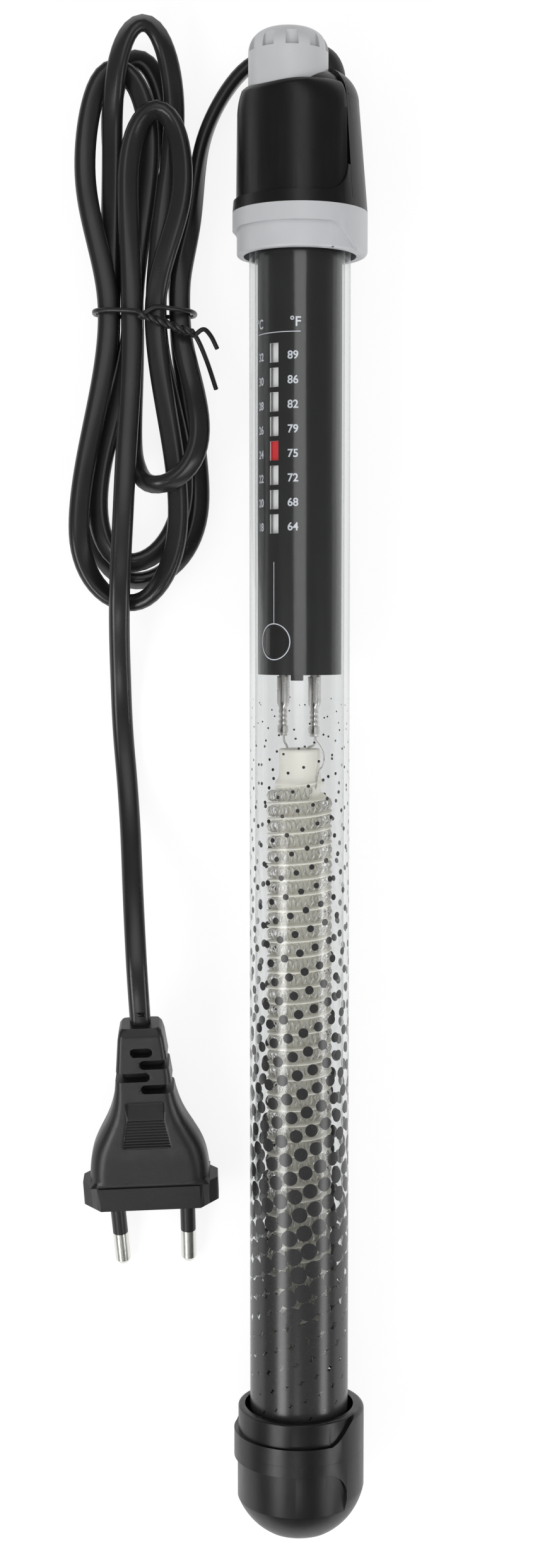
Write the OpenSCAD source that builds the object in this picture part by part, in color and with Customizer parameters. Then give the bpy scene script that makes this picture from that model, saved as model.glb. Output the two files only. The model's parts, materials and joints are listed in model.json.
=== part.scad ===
// Submersible aquarium heater, lying on its back with its flex tied in a hank beside it.
// Rest frame: +Y points from the foot to the dial, +Z is up, z = 0 is the surface it lies on.
// Inside the "standing" frame of each heater module: +Z runs from foot to dial, the printed
// scale faces -Y, and z = 0 is the underside of the foot.

/* [Glass tube] */
// Outer diameter of the glass tube
tube_d = 25.4; // [23:0.1:27]
// Wall of the glass tube
tube_wall = 1.4; // [1:0.1:1.8]
// Length of tube seen between the two collars
tube_show = 293.9; // [270:0.1:320]
// Length of tube gripped inside the head shell
tube_grip = 8; // [6:0.5:10]

/* [Head and foot mouldings] */
// How far the head and foot stand out from the glass
moulding_over = 4.2; // [4:0.1:5]
// Depth of the recessed front panels
panel_depth = 0.9; // [0.6:0.1:1.2]
// Depth of the recessed lower edge of a collar
collar_step = 1.1; // [0.7:0.1:1.5]
// Height of each collar
collar_h = 10.6; // [9:0.1:13]
// Height of the raised band on a collar, from its split face
band_h = 4.3; // [3:0.1:5]
// Height of the same band on the head shell and foot cup
band_over = 2.9; // [2:0.1:4]
// Half angle of the recessed front panels
panel_half = 84; // [76:1:86]
// Height of the foot cup below its collar
foot_cup_h = 24.6; // [22:0.1:28]
// Height of the head shell at its back
shell_h = 34.5; // [32:0.1:37]
// How much the head shell tapers to its top shoulder
shell_taper = 2.2; // [1.6:0.1:2.8]
// Wall of the head shell round the glass and its gasket
shell_wall = 3.3; // [3:0.1:3.5]
// Slope of the head's top face, falling to the front
top_slope = 17; // [12:1:20]

/* [Dial] */
// Diameter of the temperature knob
knob_d = 19.8; // [18:0.1:20.4]
// Distance from the inside of the scale sleeve back to the knob's axis
dial_inset = 5.2; // [5:0.05:5.4]
// Height of the knob's top above the head shell's back
knob_rise = 11.8; // [10:0.1:14]
// Number of finger recesses round the knob
knob_grips = 10; // [8:1:12]
// Width of a finger recess
grip_w = 2.4; // [2:0.1:3]
// Radius of the dial spindle
spindle_r = 2; // [1.8:0.1:2.2]
// Travel of the pointer for one turn of the dial
screw_lead = 15; // [12:1:18]

/* [Temperature scale] */
// Space between the scale sleeve and the glass
sleeve_gap = 0.7; // [0.4:0.05:0.8]
// Wall of the scale sleeve
sleeve_wall = 0.6; // [0.5:0.05:0.7]
// Length of sleeve seen below the head collar
sleeve_show = 104.2; // [98:0.1:112]
// Number of windows in the scale
window_count = 8; // [6:1:8]
// Spacing of the windows
window_pitch = 6; // [5.6:0.1:6.4]
// Width of a window
window_w = 2.7; // [2.2:0.1:3]
// Height of a window
window_h = 4.74; // [4:0.02:5]
// Distance from the head collar to the top window
window_drop = 22.3; // [20:0.1:26]
// Window that shows the pointer at rest, counted from the top
window_set = 5; // [2:1:6]
// Radius of the indicator lamp's lens
lens_r = 3.9; // [3:0.1:4.2]
// Height of the lens centre above the sleeve's lower edge
lens_up = 8.3; // [7:0.1:10]

/* [Heating element] */
// Distance from the sleeve's lower edge to the ceramic neck
lead_gap = 18.9; // [17:0.1:22]
// Radius of the ceramic neck
neck_r = 5.4; // [5:0.1:5.8]
// Height of the ceramic neck
neck_h = 8.6; // [7:0.1:10]
// Radius of the ceramic former over its helical fin
former_r = 8.4; // [8:0.1:9]
// Radius of the former at the bottom of its groove
groove_r = 5.9; // [5.5:0.1:6.2]
// Turns of the winding
turns = 37; // [30:1:37]
// Height of the ceramic pad under the former
pad_h = 28.8; // [26:0.1:32]
// Thickness of the fin between two turns of the winding
fin_t = 0.94; // [0.8:0.02:1.1]

/* [Plug] */
// Width of the plug's flange
flange_w = 35.3; // [34:0.1:36]
// Height of the plug's flange
flange_t = 13.7; // [13:0.1:14]
// Thickness of the flange along the pins
flange_len = 6.5; // [5.5:0.1:8]
// Length of the plug behind its flange
grip_len = 44; // [40:0.5:48]
// Radius of a plug pin
pin_r = 2; // [1.9:0.05:2.1]
// Length of a plug pin
pin_len = 19; // [18.5:0.1:19.5]
// Length of the insulating sleeve on a pin
pin_sleeve_len = 10; // [9:0.5:11]
// Distance between the pins where they leave the plug
pin_gap = 18.6; // [18:0.1:19.2]
// Inward lean of each pin
pin_lean = 1.7; // [1:0.1:2]

/* [Flex] */
// Width of the flat twin flex
flex_w = 5.4; // [5:0.1:5.6]
// Thickness of the flat twin flex
flex_t = 3.4; // [3.2:0.1:3.5]
// Thickness of the wire tie
tie_d = 1.2; // [1:0.1:1.4]

/* [Hidden] */

// Fits
slide_gap = 0.05;      // shaft in its bore
seat_gap = 0.1;        // fixed piece on its seat
run_gap = 0.3;         // between pieces that move past each other
eps = 0.01;
far = 40;              // reach of cutting blocks

// Stations up the standing heater
foot_rim_z = foot_cup_h + collar_h;
head_collar_z = foot_rim_z + tube_show;
shell_z = head_collar_z + collar_h;
shell_top_z = shell_z + shell_h;
knob_top_z = shell_top_z + knob_rise;
heater_len = knob_top_z;
tube_r = tube_d / 2;
tube_in_r = tube_r - tube_wall;
body_r = tube_r + moulding_over;
panel_r = body_r - panel_depth;
collar_low_r = body_r - collar_step;
shell_top_r = body_r - shell_taper;
cushion_t = 1.6;       // rubber between the glass and the foot cup
seat_r = tube_r + cushion_t;
seat_rim = 0.4;        // straight part of the cup's seat under its rim
cup_floor = foot_cup_h - seat_rim - seat_r;
tube_base_z = cup_floor + cushion_t + 0.1;
tube_top_z = shell_z + tube_grip;
roll = -38;            // the scale faces 38 degrees to the side of straight up

// Collar details
rim_recess_r = tube_r + 1.4;
rim_recess_h = 5;
rim_round = 1.2;

// Knob and spindle
sleeve_r = tube_in_r - sleeve_gap;
sleeve_in_r = sleeve_r - sleeve_wall;
knob_offset = sleeve_in_r - dial_inset;
knob_r = knob_d / 2;
knob_round = 6.5;
knob_well_r = knob_r + run_gap;
well_floor_z = shell_top_z - 11.2;
knob_base_z = well_floor_z + 0.7;
knob_h = knob_top_z - knob_base_z;
knob_hollow = knob_h / 2 - 0.15;   // depth of the hollow under the knob
spindle_grip = 14;                 // spindle held inside the knob
grip_drop = 8.1;       // from the knob's top to a recess's ledge
grip_in_r = knob_r - 1;
cavity_r = body_r - shell_wall;
bush_r = 3.6;
bush_z0 = well_floor_z - 8;
bush_z1 = well_floor_z - 1.8;
cavity_top_z = bush_z0 + 2;
clip_z0 = bush_z0 - 1.2;
clip_t = 1;
o_ring_r = 0.78;

// Scale
sleeve_z0 = head_collar_z - sleeve_show;
sleeve_z1 = shell_z + 3;
window_top_z = head_collar_z - window_drop;
function window_z(i) = window_top_z - window_h / 2 - window_pitch * i;
set_z = window_z(window_set - 1);
travel_up = window_pitch * (window_set - 1);
travel_down = window_pitch * (window_count - window_set);
flag_out_r = sleeve_in_r - run_gap;
flag_t = 0.35;
flag_h = window_h + 0.7;
backing_out_r = flag_out_r - flag_t - run_gap;
backing_t = 0.4;
backing_half = 2.2;
backing_z0 = window_z(window_count - 1) - window_h / 2 - 4.5;
backing_z1 = window_top_z + 4.5;
lens_z = sleeve_z0 + lens_up;

// Thermostat chassis
plate_y = 2.9 - knob_offset;   // front face of the chassis plate
plate_t = 1.6;
plate_half = sleeve_in_r - 0.8;
plate_z0 = sleeve_z0 + 1.2;
plate_z1 = sleeve_z1 - 1;
tab_w = 2.8;
tab_drop = 1.6;
nut_half = 3.2;
nut_h = 8;
screw_r = 2.5;
screw_z0 = window_z(window_count - 1) - nut_h / 2 - 5;
screw_z1 = window_top_z + 8;
screw_journal = 1.6;
bracket_t = 3.5;
frame_half = nut_half + 1.1;   // frame that holds one end of the white backing
frame_wall = 0.9;
frame_h = 2.5;
ear_z = head_collar_z - 11;
ear_gap = 3.4;
ear_t = 1.2;
arm_y = plate_y + plate_t + 3.3;
arm_pin_r = 1;
arm_t = 0.6;
arm_w = 5;
contact_z = ear_z - 52;
contact_r = 1.8;
contact_t = 0.5;
arm_end_z = contact_z - 7;
eye_r = 1.9;           // eye of the contact arm
eye_half = ear_gap - 0.3;
core_r = 0.8;          // supply wire
core_x = plate_half - 2.8;
core_end_z = plate_z0 + 14;
plate_back = plate_y + plate_t;

// Heating element
neck_top_z = sleeve_z0 - lead_gap;
shoulder_z = neck_top_z - neck_h;
former_top_z = shoulder_z - 2.4;
former_neck = 0.6;     // plain former above the last fin
former_foot = 1;       // and below the first
pad_z0 = tube_base_z + tube_wall + tube_in_r - sqrt(tube_in_r * tube_in_r - groove_r * groove_r)
    + seat_gap;
former_z0 = pad_z0 + pad_h + seat_gap + former_foot;
coil_pitch = (former_top_z - former_neck - slide_gap - former_z0) / (turns + 1);
former_len = turns * coil_pitch;
groove_w = coil_pitch - fin_t;
coil_d = groove_w - 0.3;
coil_r = groove_r + coil_d / 2 + 0.15;
steps = 12;            // sides in one turn of the winding
tab_x = 5;
tab_t = 0.8;
receptacle_w = 3.2;
receptacle_t = 1.8;
receptacle_h = 6.8;
receptacle_z0 = sleeve_z0 - 7.7;
crimp_r = 1.1;
crimp_z0 = receptacle_z0 - 8;

// Gland behind the knob, its arm turned level with the floor
gland_back = body_r - 4.9;
gland_r = 3;
gland_bend = 3.7;
gland_turn = 80;
gland_arm = 6;
gland_z0 = shell_top_z + 1.4;
gland_root_z = cavity_top_z - 0.6;

// Plug, resting on its flange edge and pin tips
plug_at = [-38.7, -106.1];
plug_yaw = 2.4;
plug_tilt = atan((flange_t / 2 - pin_r) / pin_len);
plug_up = flange_t / 2 * cos(plug_tilt);
chamfer = 4.6;

// Flex: the hank's waist and the nine slots of its strands, [x, z]
waist_y = 123.4;
slots = [
    [-30.6, 7.2], [-42.6, 3.2], [-30.8, 3.2], [-48.5, 5.7], [-36.7, 7.2],
    [-42.6, 7.2], [-48.5, 9.7], [-36.7, 11.2], [-42.6, 11.2]
];
// One row for each half loop: first side [x, y], tip [x, y], second side [x, y],
// twist at the tip, and seven heights between the slot it leaves and the slot it enters
loops = [
    [[-25.2, 93], [-36.5, 79.4], [-43.2, 92], 60, [10, 14.4, 15.6, 15.2, 9.4, 3.8, 1.9]],
    [[-48.2, 172], [-42, 189.3], [-33.4, 166], 30, [1.8, 2.1, 2.1, 2.4, 2.2, 1.9, 1.8]],
    [[-25.8, 77], [-42.5, 55.4], [-53.6, 72], 60, [1.9, 2.1, 2.7, 3.3, 2.5, 2, 2]],
    [[-47.6, 168], [-39.3, 195.8], [-31.8, 174], 50, [5.9, 6.5, 11.8, 11.8, 8.4, 6.6, 10]],
    [[-29.8, 80], [-44, 59.8], [-52, 75], 45, [5.9, 6.3, 6.8, 7.5, 7.5, 6.6, 6.3]],
    [[-38.2, 166], [-46.8, 185.5], [-54.6, 160], 20, [6.1, 5.7, 6.5, 6.8, 6.3, 7.4, 9.8]],
    [[-56.5, 68], [-43.6, 49.6], [-30.9, 73], 60, [10.1, 10.6, 8, 6.4, 10.8, 11, 10.6]],
    [[-29.4, 156], [-35.8, 174.4], [-43.4, 156], 60, [14, 13.3, 11.9, 12.4, 11.2, 10.6, 10.8]]
];
side_twist = 0.25;     // share of a tip's twist already there at the loop's sides

// Free stretches, [x, y, z, twist]
lead_route = [
    [-1.8, 187.3, 7.4, 90], [-5.5, 187.9, 7.4, 90], [-9.5, 187.4, 7.3, 90],
    [-13.2, 185.4, 7, 90], [-16.5, 182.2, 6.4, 90], [-19.3, 178.5, 5.8, 90],
    [-21.8, 174.3, 5.2, 90], [-23.8, 169.8, 4.8, 85], [-25.2, 165, 4.8, 80],
    [-26.3, 157, 5.6, 65], [-27.3, 147.5, 6.6, 50], [-28.8, 140.5, 7, 25],
    [-30.1, 134.6, 7.2, 5], [-30.6, 131, 7.2, 0], [-30.6, 128.9, 7.2, 0]
];
tail_route = [
    [-42.6, 117.9, 11.2, 0], [-42.6, 114.9, 11.2, 0], [-42.8, 110, 11.3, 0],
    [-43.3, 100, 12, 0], [-43.9, 90, 13.6, 0], [-44.4, 80, 14.6, 0],
    [-44.9, 71, 14.2, 0], [-45.5, 62, 13.2, 0], [-45.9, 54, 12.8, 0],
    [-46.2, 46, 10.8, 0], [-46.4, 38, 7.2, 0], [-46.4, 30, 4, 0],
    [-46.3, 22, 2.2, 0], [-45.9, 14, 1.7, 0], [-45.2, 6, 2, 0],
    [-44.5, -2, 4, 0], [-43.8, -10, 7.6, 0], [-43.2, -18, 12, 0],
    [-42.6, -26, 16.4, 0], [-42, -34, 19.9, 0], [-41.5, -42, 21.6, 0],
    [-41.1, -49.5, 21.1, 0], [-40.75, -57.1, 19.1, 0]
];

// ---------------------------------------------------------------- shared shapes

// Lays the standing heater down: axis along Y, front turned by roll from straight up
module lay() {
    translate([0, -heater_len / 2, body_r])
        rotate([-90, 0, 0])
            rotate([0, 0, roll])
                children();
}

// Tube or solid cylinder between two heights
module ring(r_out, r_in, z0, z1) {
    translate([0, 0, z0])
        difference() {
            cylinder(h = z1 - z0, r = r_out, $fn = 96);
            translate([0, 0, -1])
                cylinder(h = z1 - z0 + 2, r = r_in, $fn = 96);
        }
}

// Wedge of space open to the front (-Y), half_angle either side
module front_wedge(half_angle, z0, z1) {
    translate([0, 0, z0])
        linear_extrude(height = z1 - z0)
            polygon([
                [0, 0],
                far * [-sin(half_angle), -cos(half_angle)],
                far * [-1.2, -1.2],
                far * [1.2, -1.2],
                far * [sin(half_angle), -cos(half_angle)]
            ]);
}

// Places a flat shape drawn as [along the skin, up] on the body at an angle from the front,
// and cuts it straight in towards the axis
module on_skin(angle, z) {
    rotate([0, 0, angle])
        translate([0, -9, z])
            rotate([90, 0, 0])
                linear_extrude(height = 14)
                    children();
}

// Unit vectors for a swept section at point i of a path: along, across, up, twisted
function unit(v) = v / norm(v);
function xyz(p) = [p[0], p[1], p[2]];
function along(path, i) = unit(
    xyz(path[min(i + 1, len(path) - 1)]) - xyz(path[max(i - 1, 0)]));
function across(t) = unit([t[1], -t[0], 0]);
function wide_axis(path, i) = let (
    t = along(path, i),
    s = across(t),
    u = cross(s, t)
) cos(path[i][3]) * s + sin(path[i][3]) * u;

// Solid swept along a path of [x, y, z, twist]; section is a closed list of [wide, thin]
module sweep(path, section) {
    m = len(section);
    n = len(path);
    points = [
        for (i = [0 : n - 1])
            let (t = along(path, i), w = wide_axis(path, i), u = cross(w, t))
                for (c = section) xyz(path[i]) + c[0] * w + c[1] * u
    ];
    sides = [
        for (i = [0 : n - 2], j = [0 : m - 1])
            each [
                [i * m + j, (i + 1) * m + j, (i + 1) * m + (j + 1) % m],
                [i * m + j, (i + 1) * m + (j + 1) % m, i * m + (j + 1) % m]
            ]
    ];
    polyhedron(
        points = points,
        faces = concat(
            [[for (j = [0 : m - 1]) j]],
            [[for (j = [m - 1 : -1 : 0]) (n - 1) * m + j]],
            sides
        ),
        convexity = 10
    );
}

// Round wire through a list of points whose corners are rounded off over a length d
function rounded(p, d) = concat(
    [p[0]],
    [for (i = [1 : len(p) - 2])
        let (a = d * unit(p[i - 1] - p[i]), b = d * unit(p[i + 1] - p[i]))
            each [p[i] + a, p[i] + 0.12 * a + 0.12 * b + 0.25 * (a + b) / 2, p[i] + b]],
    [p[len(p) - 1]]
);
module wire(corners, d, r) {
    path = rounded(corners, d);
    sides = 8;
    n = len(path);
    points = [
        for (i = [0 : n - 1])
            let (t = along(path, i), s = unit(cross([0, 1, 0], t)), u = cross(t, s))
                for (j = [0 : sides - 1])
                    path[i] + r * (cos(360 * j / sides) * s + sin(360 * j / sides) * u)
    ];
    polyhedron(
        points = points,
        faces = concat(
            [[for (j = [0 : sides - 1]) j]],
            [[for (j = [sides - 1 : -1 : 0]) (n - 1) * sides + j]],
            [for (i = [0 : n - 2], j = [0 : sides - 1])
                each [
                    [i * sides + j, (i + 1) * sides + j, (i + 1) * sides + (j + 1) % sides],
                    [i * sides + j, (i + 1) * sides + (j + 1) % sides, i * sides + (j + 1) % sides]
                ]]
        ),
        convexity = 6
    );
}

// Flat twin section with round edges, eight corners
flat = (flex_w - flex_t) / 2;
flex_section = [
    [flat + flex_t / 2, -flex_t * 0.2], [flat + flex_t / 2, flex_t * 0.2],
    [flat, flex_t / 2], [-flat, flex_t / 2],
    [-flat - flex_t / 2, flex_t * 0.2], [-flat - flex_t / 2, -flex_t * 0.2],
    [-flat, -flex_t / 2], [flat, -flex_t / 2]
];
function round_section(r, sides) = [
    for (j = [0 : sides - 1]) r * [cos(360 * j / sides), sin(360 * j / sides)]
];

// ---------------------------------------------------------------- glass and mouldings

// Half outline of a round-ended tube, its end at y0 and cut off square at y1
module bullet(r, y0, y1) {
    intersection() {
        translate([0, y0 + r])
            circle(r = r, $fn = 96);
        translate([0, y0])
            square([r, r]);
    }
    translate([0, y0 + r - eps])
        square([r, y1 - y0 - r + eps]);
}

module glass_tube() {
    color([0.85, 0.9, 0.9, 0.4])
        rotate_extrude($fn = 96)
            difference() {
                bullet(tube_r, tube_base_z, tube_top_z);
                bullet(tube_in_r, tube_base_z + tube_wall, tube_top_z + 1);
            }
}

// Points of an arc about c, for a turned profile
function arc(c, r, a0, a1, n) = [
    for (i = [0 : n]) [c[0] + r * cos(a0 + (a1 - a0) * i / n), c[1] + r * sin(a0 + (a1 - a0) * i / n)]
];

// Space in front of a collar's recessed edge, ending in an S-curve at each side
module collar_recess() {
    s_half = 5;
    drop = collar_h - band_h;
    front_wedge(panel_half - 16, -1, drop);
    for (side = [-1, 1])
        on_skin(side * (panel_half - 1), 0)
            polygon(concat(
                [[-side * (s_half + 2), -1], [-side * (s_half + 2), drop]],
                [for (t = [0 : 0.125 : 1])
                    [side * s_half * (2 * t - 1), drop * (1 - (3 - 2 * t) * t * t)]],
                [[side * s_half, -1]]
            ));
}

// Turned half outline of a collar, its rim at 0 rounded over
module collar_profile(r, round_r) {
    bore = tube_r + seat_gap;
    polygon(concat(
        [[rim_recess_r, 0]],
        arc([r - round_r, round_r], round_r, -90, 0, 8),
        [[r, collar_h], [bore, collar_h], [bore, rim_recess_h], [rim_recess_r, rim_recess_h]]
    ));
}

// Collar with its open rim at z = 0 and its split face at collar_h
module collar_ring() {
    rotate_extrude($fn = 96)
        collar_profile(collar_low_r, 0.6);
    difference() {
        rotate_extrude($fn = 96)
            collar_profile(body_r, rim_round);
        collar_recess();
    }
}

module head_collar() {
    color([0.70, 0.71, 0.73])
        translate([0, 0, head_collar_z])
            collar_ring();
}

module foot_collar() {
    color([0.12, 0.12, 0.12])
        translate([0, 0, foot_rim_z])
            mirror([0, 0, 1])
                collar_ring();
}

// Half outline of the foot cup: a ball cut to radius r, with the round seat for the tube
module dome(r) {
    seat_mid = cup_floor + seat_r;
    polygon(concat(
        arc([0, dome_r], dome_r, -90, -acos(r / dome_r), 20),
        [[r, foot_cup_h], [seat_r, foot_cup_h]],
        arc([0, seat_mid], seat_r, 0, -90, 20)
    ));
}

dome_r = body_r + 0.3;
panel_corner = 7;
back_lean = 27.3;      // lean of the flat across the foot's back
back_wall = 1.28;      // wall left between that flat and the tube's seat
back_cut = seat_r + back_wall - (cup_floor + seat_r) * sin(back_lean);

// Space in front of the foot cup's panel, with rounded upper corners
module foot_panel_space() {
    top = foot_cup_h - band_over;
    difference() {
        front_wedge(panel_half, -1, top);
        for (side = [-1, 1])
            on_skin(side * (panel_half - asin(panel_corner / (body_r + 0.3))), top - panel_corner + 0.05)
                difference() {
                    translate([side > 0 ? 0 : -2 * panel_corner, 0])
                        square([2 * panel_corner, 2 * panel_corner]);
                    circle(r = panel_corner, $fn = 48);
                }
    }
}

module foot_cup() {
    color([0.12, 0.12, 0.12])
        difference() {
            rotate_extrude($fn = 96)
                dome(body_r);
            difference() {
                foot_panel_space();
                translate([0, 0, -2])
                    cylinder(h = foot_cup_h + 4, r = panel_r, $fn = 96);
            }
            // flat across the back of the dome
            rotate([-back_lean, 0, 0])
                translate([-far, back_cut, -far])
                    cube([2 * far, far, 2 * far]);
        }
}

module foot_cushion() {
    color([0.08, 0.08, 0.08])
        rotate_extrude($fn = 96)
            intersection() {
                difference() {
                    bullet(tube_r + cushion_t - slide_gap, cup_floor + slide_gap, foot_cup_h + 2);
                    bullet(tube_r + slide_gap, tube_base_z - slide_gap, foot_cup_h + 3);
                }
                square([far, foot_cup_h - 0.2]);
            }
}

// Head shell, drawn from its split face at z = 0
shell_round = 8;
front_round = 3.4;
slope_z = shell_h - 0.6;       // height of the sloping top face over the axis

module shell_profile(r0, r1, round_r, h) {
    polygon([[0, 0], [r0, 0], [r1, h - round_r], [0, h - round_r]]);
    translate([r1 - round_r, h - round_r])
        circle(r = round_r, $fn = 64);
    translate([0, h - round_r - eps])
        square([r1 - round_r, round_r + eps]);
}

// Keeps the part of a flat profile on the outer side of the axis
module outer_half() {
    intersection() {
        children();
        translate([0, -far])
            square([far, 4 * far]);
    }
}

module head_panel_space() {
    foot = band_over;
    difference() {
        front_wedge(panel_half + 6, foot, shell_h + 5);
        for (side = [-1, 1])
            on_skin(side * (panel_half - asin(panel_corner / panel_r)), foot + panel_corner)
                difference() {
                    translate([side > 0 ? 0 : -2 * panel_corner, -2 * panel_corner])
                        square([2 * panel_corner, 2 * panel_corner]);
                    circle(r = panel_corner, $fn = 48);
                }
    }
}

module head_shell_solid() {
    // core that shows at the bottom of the side grooves
    rotate_extrude($fn = 96)
        outer_half() shell_profile(panel_r - 1.2, shell_top_r - 1, shell_round - 1, shell_h - 0.8);
    // raised front panel
    intersection() {
        rotate_extrude($fn = 96)
            outer_half() shell_profile(panel_r, panel_r - 0.3, front_round, shell_h - 4.2);
        front_wedge(panel_half, 0, shell_h);
    }
    // back and lower band
    difference() {
        rotate_extrude($fn = 96)
            outer_half() shell_profile(body_r, shell_top_r, shell_round, shell_h);
        head_panel_space();
    }
}

module head_shell() {
    color([0.13, 0.13, 0.14])
        difference() {
            translate([0, 0, shell_z])
                head_shell_solid();
            // sloping top face
            translate([0, 0, shell_z + slope_z])
                rotate([top_slope, 0, 0])
                    translate([-far, -far, 0])
                        cube([2 * far, far + 5, far]);
            // room for the glass, the wiring and the chassis
            translate([0, 0, shell_z - 1])
                cylinder(h = cavity_top_z - shell_z + 1, r = cavity_r, $fn = 96);
            // knob well, spindle bush and seal
            translate([0, -knob_offset, well_floor_z])
                cylinder(h = far, r = knob_well_r, $fn = 96);
            translate([0, -knob_offset, cavity_top_z - 1])
                cylinder(h = well_floor_z - cavity_top_z + 2, r = bush_r + slide_gap, $fn = 48);
            // hole for the cord gland
            translate([0, gland_back, cavity_top_z - 1])
                cylinder(h = far, r = gland_r + slide_gap, $fn = 48);
        }
}

module head_gasket() {
    color([0.1, 0.1, 0.1])
        ring(cavity_r - slide_gap, tube_r + slide_gap, shell_z + 0.1, shell_z + tube_grip - 1.9);
}

// Rubber gland: root in the shell, bend and arm for the flex
module cord_gland() {
    skin = 0.05;
    lap = 0.3;
    color([0.1, 0.1, 0.1])
        translate([0, gland_back, 0])
            rotate([0, 0, -roll]) {
                translate([0, 0, gland_root_z])
                    cylinder(h = gland_z0 + lap - gland_root_z, r = gland_r - skin, $fn = 48);
                translate([-gland_bend, 0, gland_z0]) {
                    rotate([90, 0, 0])
                        rotate_extrude(angle = gland_turn, $fn = 64)
                            translate([gland_bend, 0])
                                circle(r = gland_r, $fn = 48);
                    rotate([0, -gland_turn, 0])
                        translate([gland_bend, 0, -lap])
                            cylinder(h = gland_arm + lap, r = gland_r - skin, $fn = 48);
                }
            }
}

// ---------------------------------------------------------------- dial and pointer drive

module knob_profile() {
    square([knob_r, knob_top_z - knob_base_z - knob_round]);
    translate([0, knob_top_z - knob_base_z - knob_round - eps])
        square([knob_r - knob_round, knob_round + eps]);
    translate([knob_r - knob_round, knob_top_z - knob_base_z - knob_round])
        circle(r = knob_round, $fn = 96);
}

module temperature_knob() {
    color([0.72, 0.73, 0.75])
        translate([0, -knob_offset, knob_base_z])
            difference() {
                rotate_extrude($fn = 96)
                    outer_half() knob_profile();
                // hollow underside round the hub
                translate([0, 0, -1])
                    difference() {
                        cylinder(h = knob_hollow + 1, r = knob_r - 1.8, $fn = 64);
                        cylinder(h = knob_hollow + 1, r = spindle_r + 1.6, $fn = 48);
                    }
                translate([0, 0, -1])
                    cylinder(h = spindle_grip + 2, r = spindle_r + slide_gap, $fn = 48);
                for (i = [0 : knob_grips - 1])
                    rotate([0, 0, 360 / knob_grips * i])
                        translate([-grip_w / 2, grip_in_r, knob_top_z - knob_base_z - grip_drop])
                            cube([grip_w, 5, far]);
            }
}

module dial_bush() {
    color("goldenrod")
        translate([0, -knob_offset, 0])
            ring(bush_r, spindle_r + slide_gap, bush_z0, bush_z1);
}

module dial_o_ring() {
    color([0.06, 0.06, 0.06])
        translate([0, -knob_offset, bush_z1 + o_ring_r + slide_gap])
            rotate_extrude($fn = 64)
                translate([spindle_r + slide_gap + o_ring_r, 0])
                    circle(r = o_ring_r, $fn = 32);
}

module dial_spindle() {
    color("silver")
        translate([0, -knob_offset, screw_z1])
            cylinder(h = knob_base_z + spindle_grip - screw_z1, r = spindle_r, $fn = 48);
}

module spindle_clip() {
    color("silver")
        translate([0, -knob_offset, 0])
            ring(bush_r, spindle_r + slide_gap, clip_z0, clip_z0 + clip_t);
}

// Steep right-hand groove that drives the pointer
module lead_screw() {
    groove_h = screw_z1 - screw_z0 - 6;
    color("silver")
        translate([0, -knob_offset, screw_z0]) {
            cylinder(h = 3, r = screw_journal, $fn = 48);
            translate([0, 0, 3])
                linear_extrude(height = groove_h, twist = -360 * groove_h / screw_lead, slices = 36)
                    difference() {
                        circle(r = screw_r, $fn = 12);
                        translate([-0.8, screw_r - 0.8])
                            square([1.6, 1.6]);
                    }
            translate([0, 0, 3 + groove_h])
                cylinder(h = 3, r = spindle_r, $fn = 48);
        }
}

module pointer_nut() {
    color([0.9, 0.9, 0.88])
        translate([0, -knob_offset, set_z - nut_h / 2])
            difference() {
                translate([-nut_half, -nut_half + 0.2, 0])
                    cube([2 * nut_half, 2 * nut_half - 0.7, nut_h]);
                translate([0, 0, -1])
                    cylinder(h = nut_h + 2, r = screw_r + slide_gap + 0.1, $fn = 64);
            }
}

// Red flag: curved plate behind the windows, with an arm round the edge of the backing
module pointer_flag() {
    arm_x = nut_half + slide_gap;
    arm_w = 0.8;
    plate_end = asin((arm_x + arm_w) / flag_out_r);
    color([0.8, 0.15, 0.15])
        translate([0, 0, set_z - flag_h / 2]) {
            intersection() {
                ring(flag_out_r, flag_out_r - flag_t, 0, flag_h);
                rotate([0, 0, (plate_end - 12) / 2])
                    front_wedge((plate_end + 12) / 2, -1, flag_h + 1);
            }
            translate([arm_x, -flag_out_r * cos(plate_end), flag_h / 2 - 2])
                cube([arm_w, flag_out_r * cos(plate_end) - knob_offset, 4]);
        }
}

// ---------------------------------------------------------------- scale and thermostat

module scale_sleeve() {
    color([0.12, 0.12, 0.13])
        difference() {
            ring(sleeve_r, sleeve_in_r, sleeve_z0, sleeve_z1);
            for (i = [0 : window_count - 1])
                translate([-window_w / 2, -sleeve_r - 1, window_z(i) - window_h / 2])
                    cube([window_w, 4, window_h]);
            translate([0, 0, lens_z])
                rotate([90, 0, 0])
                    cylinder(h = far, r = lens_r + slide_gap, $fn = 64);
        }
}

module scale_backing() {
    color("white")
        intersection() {
            ring(backing_out_r, backing_out_r - backing_t, backing_z0, backing_z1);
            translate([-backing_half, -far, backing_z0])
                cube([2 * backing_half, far, backing_z1 - backing_z0]);
        }
}

module lamp_lens() {
    color([0.2, 0.1, 0.08])
        intersection() {
            ring(sleeve_r, sleeve_in_r, lens_z - far, lens_z + far);
            translate([0, 0, lens_z])
                rotate([90, 0, 0])
                    cylinder(h = far, r = lens_r, $fn = 64);
        }
}

lamp_r = 2.6;
lamp_h = 11;
lamp_y = plate_y - lamp_r - 0.2;

module neon_lamp() {
    color([0.85, 0.75, 0.7])
        translate([0, lamp_y, lens_z - lamp_h / 2]) {
            cylinder(h = lamp_h - lamp_r, r = lamp_r, $fn = 48);
            translate([0, 0, lamp_h - lamp_r])
                sphere(r = lamp_r, $fn = 48);
        }
}

module lamp_resistor() {
    body_r2 = 1.1;
    color([0.75, 0.65, 0.45])
        translate([0, plate_y - body_r2 - 0.2, lens_z + lamp_h / 2 + 1])
            cylinder(h = 6, r = body_r2, $fn = 32);
}

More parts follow.
